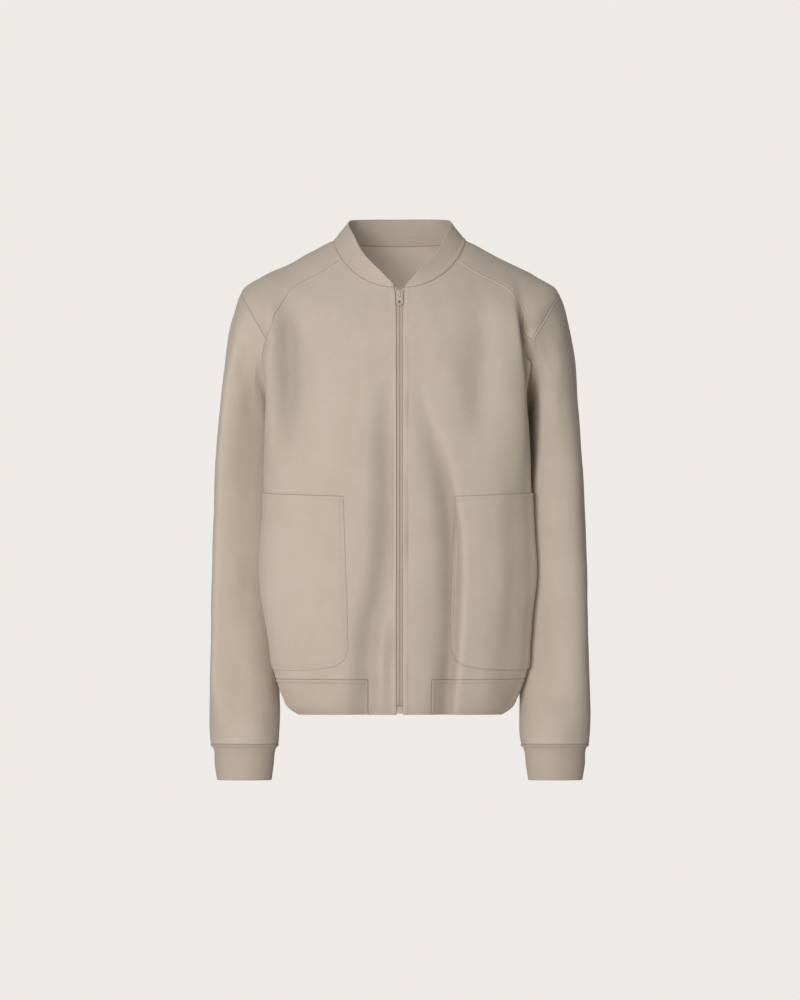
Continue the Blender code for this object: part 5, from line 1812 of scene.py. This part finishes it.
# ---- studio
@dataclass
class Studio:
    """Pale floor, soft light from the upper left and a camera square to the front."""

    distance: float = 20.0
    high: float = 1.4035        # of the view, at the garment's middle
    aim: tuple = (0.0004, -0.3635)
    background: tuple = (0.855, 0.831, 0.791)
    surround: float = 0.155
    sensor: float = 36.0
    floor_z: float = -1.50

    def camera(self) -> None:
        """Sets a long lens, so that the front is seen nearly square."""
        data = bpy.data.cameras.new("camera")
        data.sensor_fit = "VERTICAL"
        data.sensor_height = self.sensor
        data.lens = self.sensor * self.distance / self.high
        data.clip_end = 60.0
        obj = bpy.data.objects.new("camera", data)
        obj.location = (self.aim[0], -self.distance, self.aim[1])
        obj.rotation_euler = (math.pi / 2, 0.0, 0.0)
        bpy.context.scene.collection.objects.link(obj)
        bpy.context.scene.camera = obj

    def light(self, name: str, place: tuple, size: float, power: float, colour: tuple = (1.0, 1.0, 1.0),
              target: tuple = (0.0, 0.0, -0.34)) -> None:
        """A square area light that isn't seen itself.

        Args:
            name: of the light.
            place: where it stands.
            size: its width in metres.
            power: in watts.
            colour: of its light.
            target: what it faces.
        """
        data = bpy.data.lights.new(name, "AREA")
        data.shape = "SQUARE"
        data.size = size
        data.energy = power
        data.color = colour
        obj = bpy.data.objects.new(name, data)
        obj.location = place
        obj.visible_camera = False
        aim = Vector(target) - Vector(place)
        obj.rotation_euler = aim.to_track_quat("-Z", "Y").to_euler()
        bpy.context.scene.collection.objects.link(obj)

    def world(self) -> None:
        """Pale surround: seen at one strength and lighting at another."""
        world = bpy.data.worlds.new("surround")
        world.use_nodes = True
        tree = world.node_tree
        tree.nodes.clear()
        seen = node(tree, "ShaderNodeBackground", {"Color": (*self.background, 1.0)})
        lit = node(tree, "ShaderNodeBackground", {
            "Color": (0.93, 0.92, 0.90, 1.0), "Strength": self.surround})
        mixed = node(tree, "ShaderNodeMixShader", {
            "Fac": node(tree, "ShaderNodeLightPath").outputs["Is Camera Ray"],
            1: lit.outputs["Background"], 2: seen.outputs["Background"]})
        node(tree, "ShaderNodeOutputWorld", {"Surface": mixed.outputs["Shader"]})
        bpy.context.scene.world = world

    def floor(self) -> Piece:
        """A round pale floor well below the garment.

        Returns:
            The floor.
        """
        bpy.ops.object.select_all(action="DESELECT")
        bpy.ops.mesh.primitive_circle_add(vertices=96, radius=4.0, fill_type="NGON",
                                          location=(0.0, 0.0, self.floor_z))
        obj = bpy.context.object
        obj.name = "floor"
        bpy.ops.object.transform_apply(location=True, rotation=True, scale=True)
        made, tree, shader = start_material("floor", {"Roughness": 0.9})
        place = node(tree, "ShaderNodeTexCoord").outputs["Object"]
        tint = colour_ramp(tree, noise(tree, place, 3.0, 2.0), (
            (0.3, (0.80, 0.78, 0.745, 1.0)), (0.7, (0.82, 0.80, 0.765, 1.0))))
        feed(tree, shader, {"Base Color": tint})
        obj.data.materials.append(made)
        return obj

    def build(self) -> None:
        """Sets up the whole studio."""
        bpy.context.scene.view_settings.view_transform = "Standard"
        self.camera()
        self.world()
        self.light("front", (-1.8, -6.25, 0.0), 2.4, 251.0, (1.0, 0.99, 0.978))
        self.light("left", (-4.6, -2.2, 0.0), 2.2, 36.0)
        self.light("right", (3.6, -3.0, 1.4), 2.0, 9.0)
        self.light("above", (0.0, -1.7, 3.2), 2.0, 27.0)
        self.light("behind", (0.0, 5.0, 0.6), 2.5, 90.0)
        self.light("inside", (0.02, -0.010, -0.165), 0.10, 0.115, target=(-0.035, 0.080, -0.135))
        self.floor()


# ---- the whole garment
@dataclass(frozen=True)
class Cut:
    """What a piece was cut to before it was sewn: width and length of the flat cloth, and its area."""

    width: float
    length: float
    area: float
    held: str = "hung"


CUTS = {                # without the side where there is a pair
    "front": Cut(0.310, 0.620, 0.156),
    "back": Cut(0.480, 0.600, 0.250),
    "yoke": Cut(0.165, 0.150, 0.0215),
    "sleeve": Cut(0.400, 0.640, 0.200),
    "cuff": Cut(0.250, 0.052, 0.0128),
    "collar": Cut(0.450, 0.050, 0.0170),
    "hem_band": Cut(0.900, 0.050, 0.0440),
    "pocket": Cut(0.145, 0.265, 0.0370),
    "zip_tape": Cut(0.0140, 0.590, 0.0080),
}


class Jacket:
    """All the pieces of the garment in making order."""

    def __init__(self, nodes: dict) -> None:
        """Mixes the finishes and places the creases.

        Args:
            nodes: the frame's own objects by name.
        """
        self.nodes = nodes
        self.form = BodyForm()
        self.pattern = Pattern(self.form)
        self.cloth = ClothFinish("cloth", (0.545, 0.462, 0.381)).material()
        self.wrist = ClothFinish("wrist", (0.484, 0.405, 0.332), Weave.RIB, wale=0.0013).material()
        self.rib = ClothFinish("rib", (0.535, 0.450, 0.370), Weave.RIB, wale=0.0013).material()
        self.tape = ClothFinish("tape", (0.500, 0.420, 0.345), Weave.TWILL, wale=0.0008, course=0.0011,
                                sheen=0.1, mottle=0.03).material()
        self.thread = ThreadFinish().material()
        # painted light and shade: the left half of the chain is lighter and the right half darker
        self.coils = {Side.LEFT: MouldedFinish("coil_l", (0.560, 0.480, 0.400), 0.45).material(),
                      Side.RIGHT: MouldedFinish("coil_r", (0.470, 0.400, 0.330), 0.45).material()}
        self.metal = MouldedFinish("painted_metal", (0.520, 0.440, 0.362), 0.42, coat=0.3).material()
        creases = [Crease(*row, -1) for row in FRONT_CREASES] + [Crease(*row, 1) for row in BACK_CREASES]
        calm = [(self.pattern.middle, CALM_ZIP)]
        for side in Side:
            calm += [(self.pattern.armhole(side), CALM_SEAM), (self.pattern.neck(side), CALM_NECK)]
        self.drape = Drape(creases, calm, folds=(Crease(*FRONT_FOLD, -1),))
        self.panels = {}

    def settle(self, piece: Piece, nodes: tuple) -> None:
        """Ties a piece to the garment.

        Args:
            piece: what has been made.
            nodes: the nodes that it stands for.
        """
        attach(piece, ROOT)
        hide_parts(*nodes)
        LOG.info("%s: %d triangles", piece.name, sum(len(p.vertices) - 2 for p in piece.data.polygons))

    def add(self, panel: Panel, finish: Material, slot: str) -> None:
        """Shapes a panel, dresses it and logs its area beside its cut's area.

        Args:
            panel: the piece of cloth.
            finish: its material.
            slot: not used.
        """
        panel.shape()
        piece = panel.make()
        piece.data.materials.append(finish)
        self.settle(piece, (panel.name,))
        cut = CUTS[panel.name.removesuffix("_l").removesuffix("_r")]
        LOG.info("%s: %.4f m2 of cloth, cut %.4f", panel.name, panel.area(), cut.area)
        self.panels[panel.name] = panel

    def build(self) -> None:
        """Makes every piece."""
        collar = Collar(self.pattern)
        collar.build()
        sleeves = {side: Sleeve(self.pattern, side) for side in Side}
        for sleeve in sleeves.values():
            sleeve.build()
        body = Body(self.form, self.pattern, self.drape, neck_shared=collar.shared,
                    arm_shared={side: sleeve.shared for side, sleeve in sleeves.items()})
        pocket = Pocket(body)
        zip_parts = Zip(self.form, body)
        for side in Side:
            self.add(body.front(side), self.cloth, "cloth")
            self.add(body.yoke(side), self.cloth, "cloth")
            self.add(sleeves[side].sleeve, self.cloth, "cloth")
            self.add(sleeves[side].cuff, self.wrist, "rib")
            self.add(pocket.panel(side), self.cloth, "cloth")
            self.add(zip_parts.tape(side), self.tape, "tape")
            chain = ("zip_chain", "zip_chain_l") if side is Side.LEFT else ("zip_chain_r",)
            self.settle(zip_parts.chain(side, self.coils[side]), chain)
        self.add(body.back(), self.cloth, "cloth")
        self.add(body.hem(), self.rib, "rib")
        self.add(collar.panel, self.rib, "rib")
        zip_parts.dress_metal(self.nodes, self.metal)
        self.sew()

    def sew(self) -> None:
        """Adds the rows of stitches that show."""
        stitching = Stitching()
        stitching.model()
        panels = self.panels
        pairs = {name: [panels["%s_%s" % (name, side.tag)] for side in Side]
                 for name in ("front", "pocket", "cuff")}
        rows = (
            ("stitches_placket", "cloth", [panel.trace(0, 1) for panel in pairs["front"]]),
            ("stitches_pocket", "cloth", [panel.trace(edge, axis, from_end=edge == 2)
                                          for panel in pairs["pocket"]
                                          for edge, axis in enumerate((0, 1, 0))]),
            ("stitches_yoke", "cloth", [panels["yoke_r"].trace(1, 1)]),
            ("stitches_cuff", "cloth", [tuple(map(looped, panel.trace(0, 0))) for panel in pairs["cuff"]]),
            ("stitches_hem", "rib", [panels["hem_band"].trace(0, 0, from_end=True)]),
            ("stitches_neck", "rib", [panels["collar"].trace(0, 0)]),
        )
        for name, slot, lines in rows:
            piece = stitching.sew(name, lines, self.thread)
            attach(piece, ROOT)
            LOG.info("%s: %d stitches", name, len(piece.data.polygons) // len(stitching.tris))


def main() -> None:
    """Builds the garment and its studio."""
    logging.basicConfig(level=logging.INFO, format="%(message)s")
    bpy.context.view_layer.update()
    Jacket(frame["nodes"]).build()
    Studio().build()


if __name__ == "__main__":
    main()
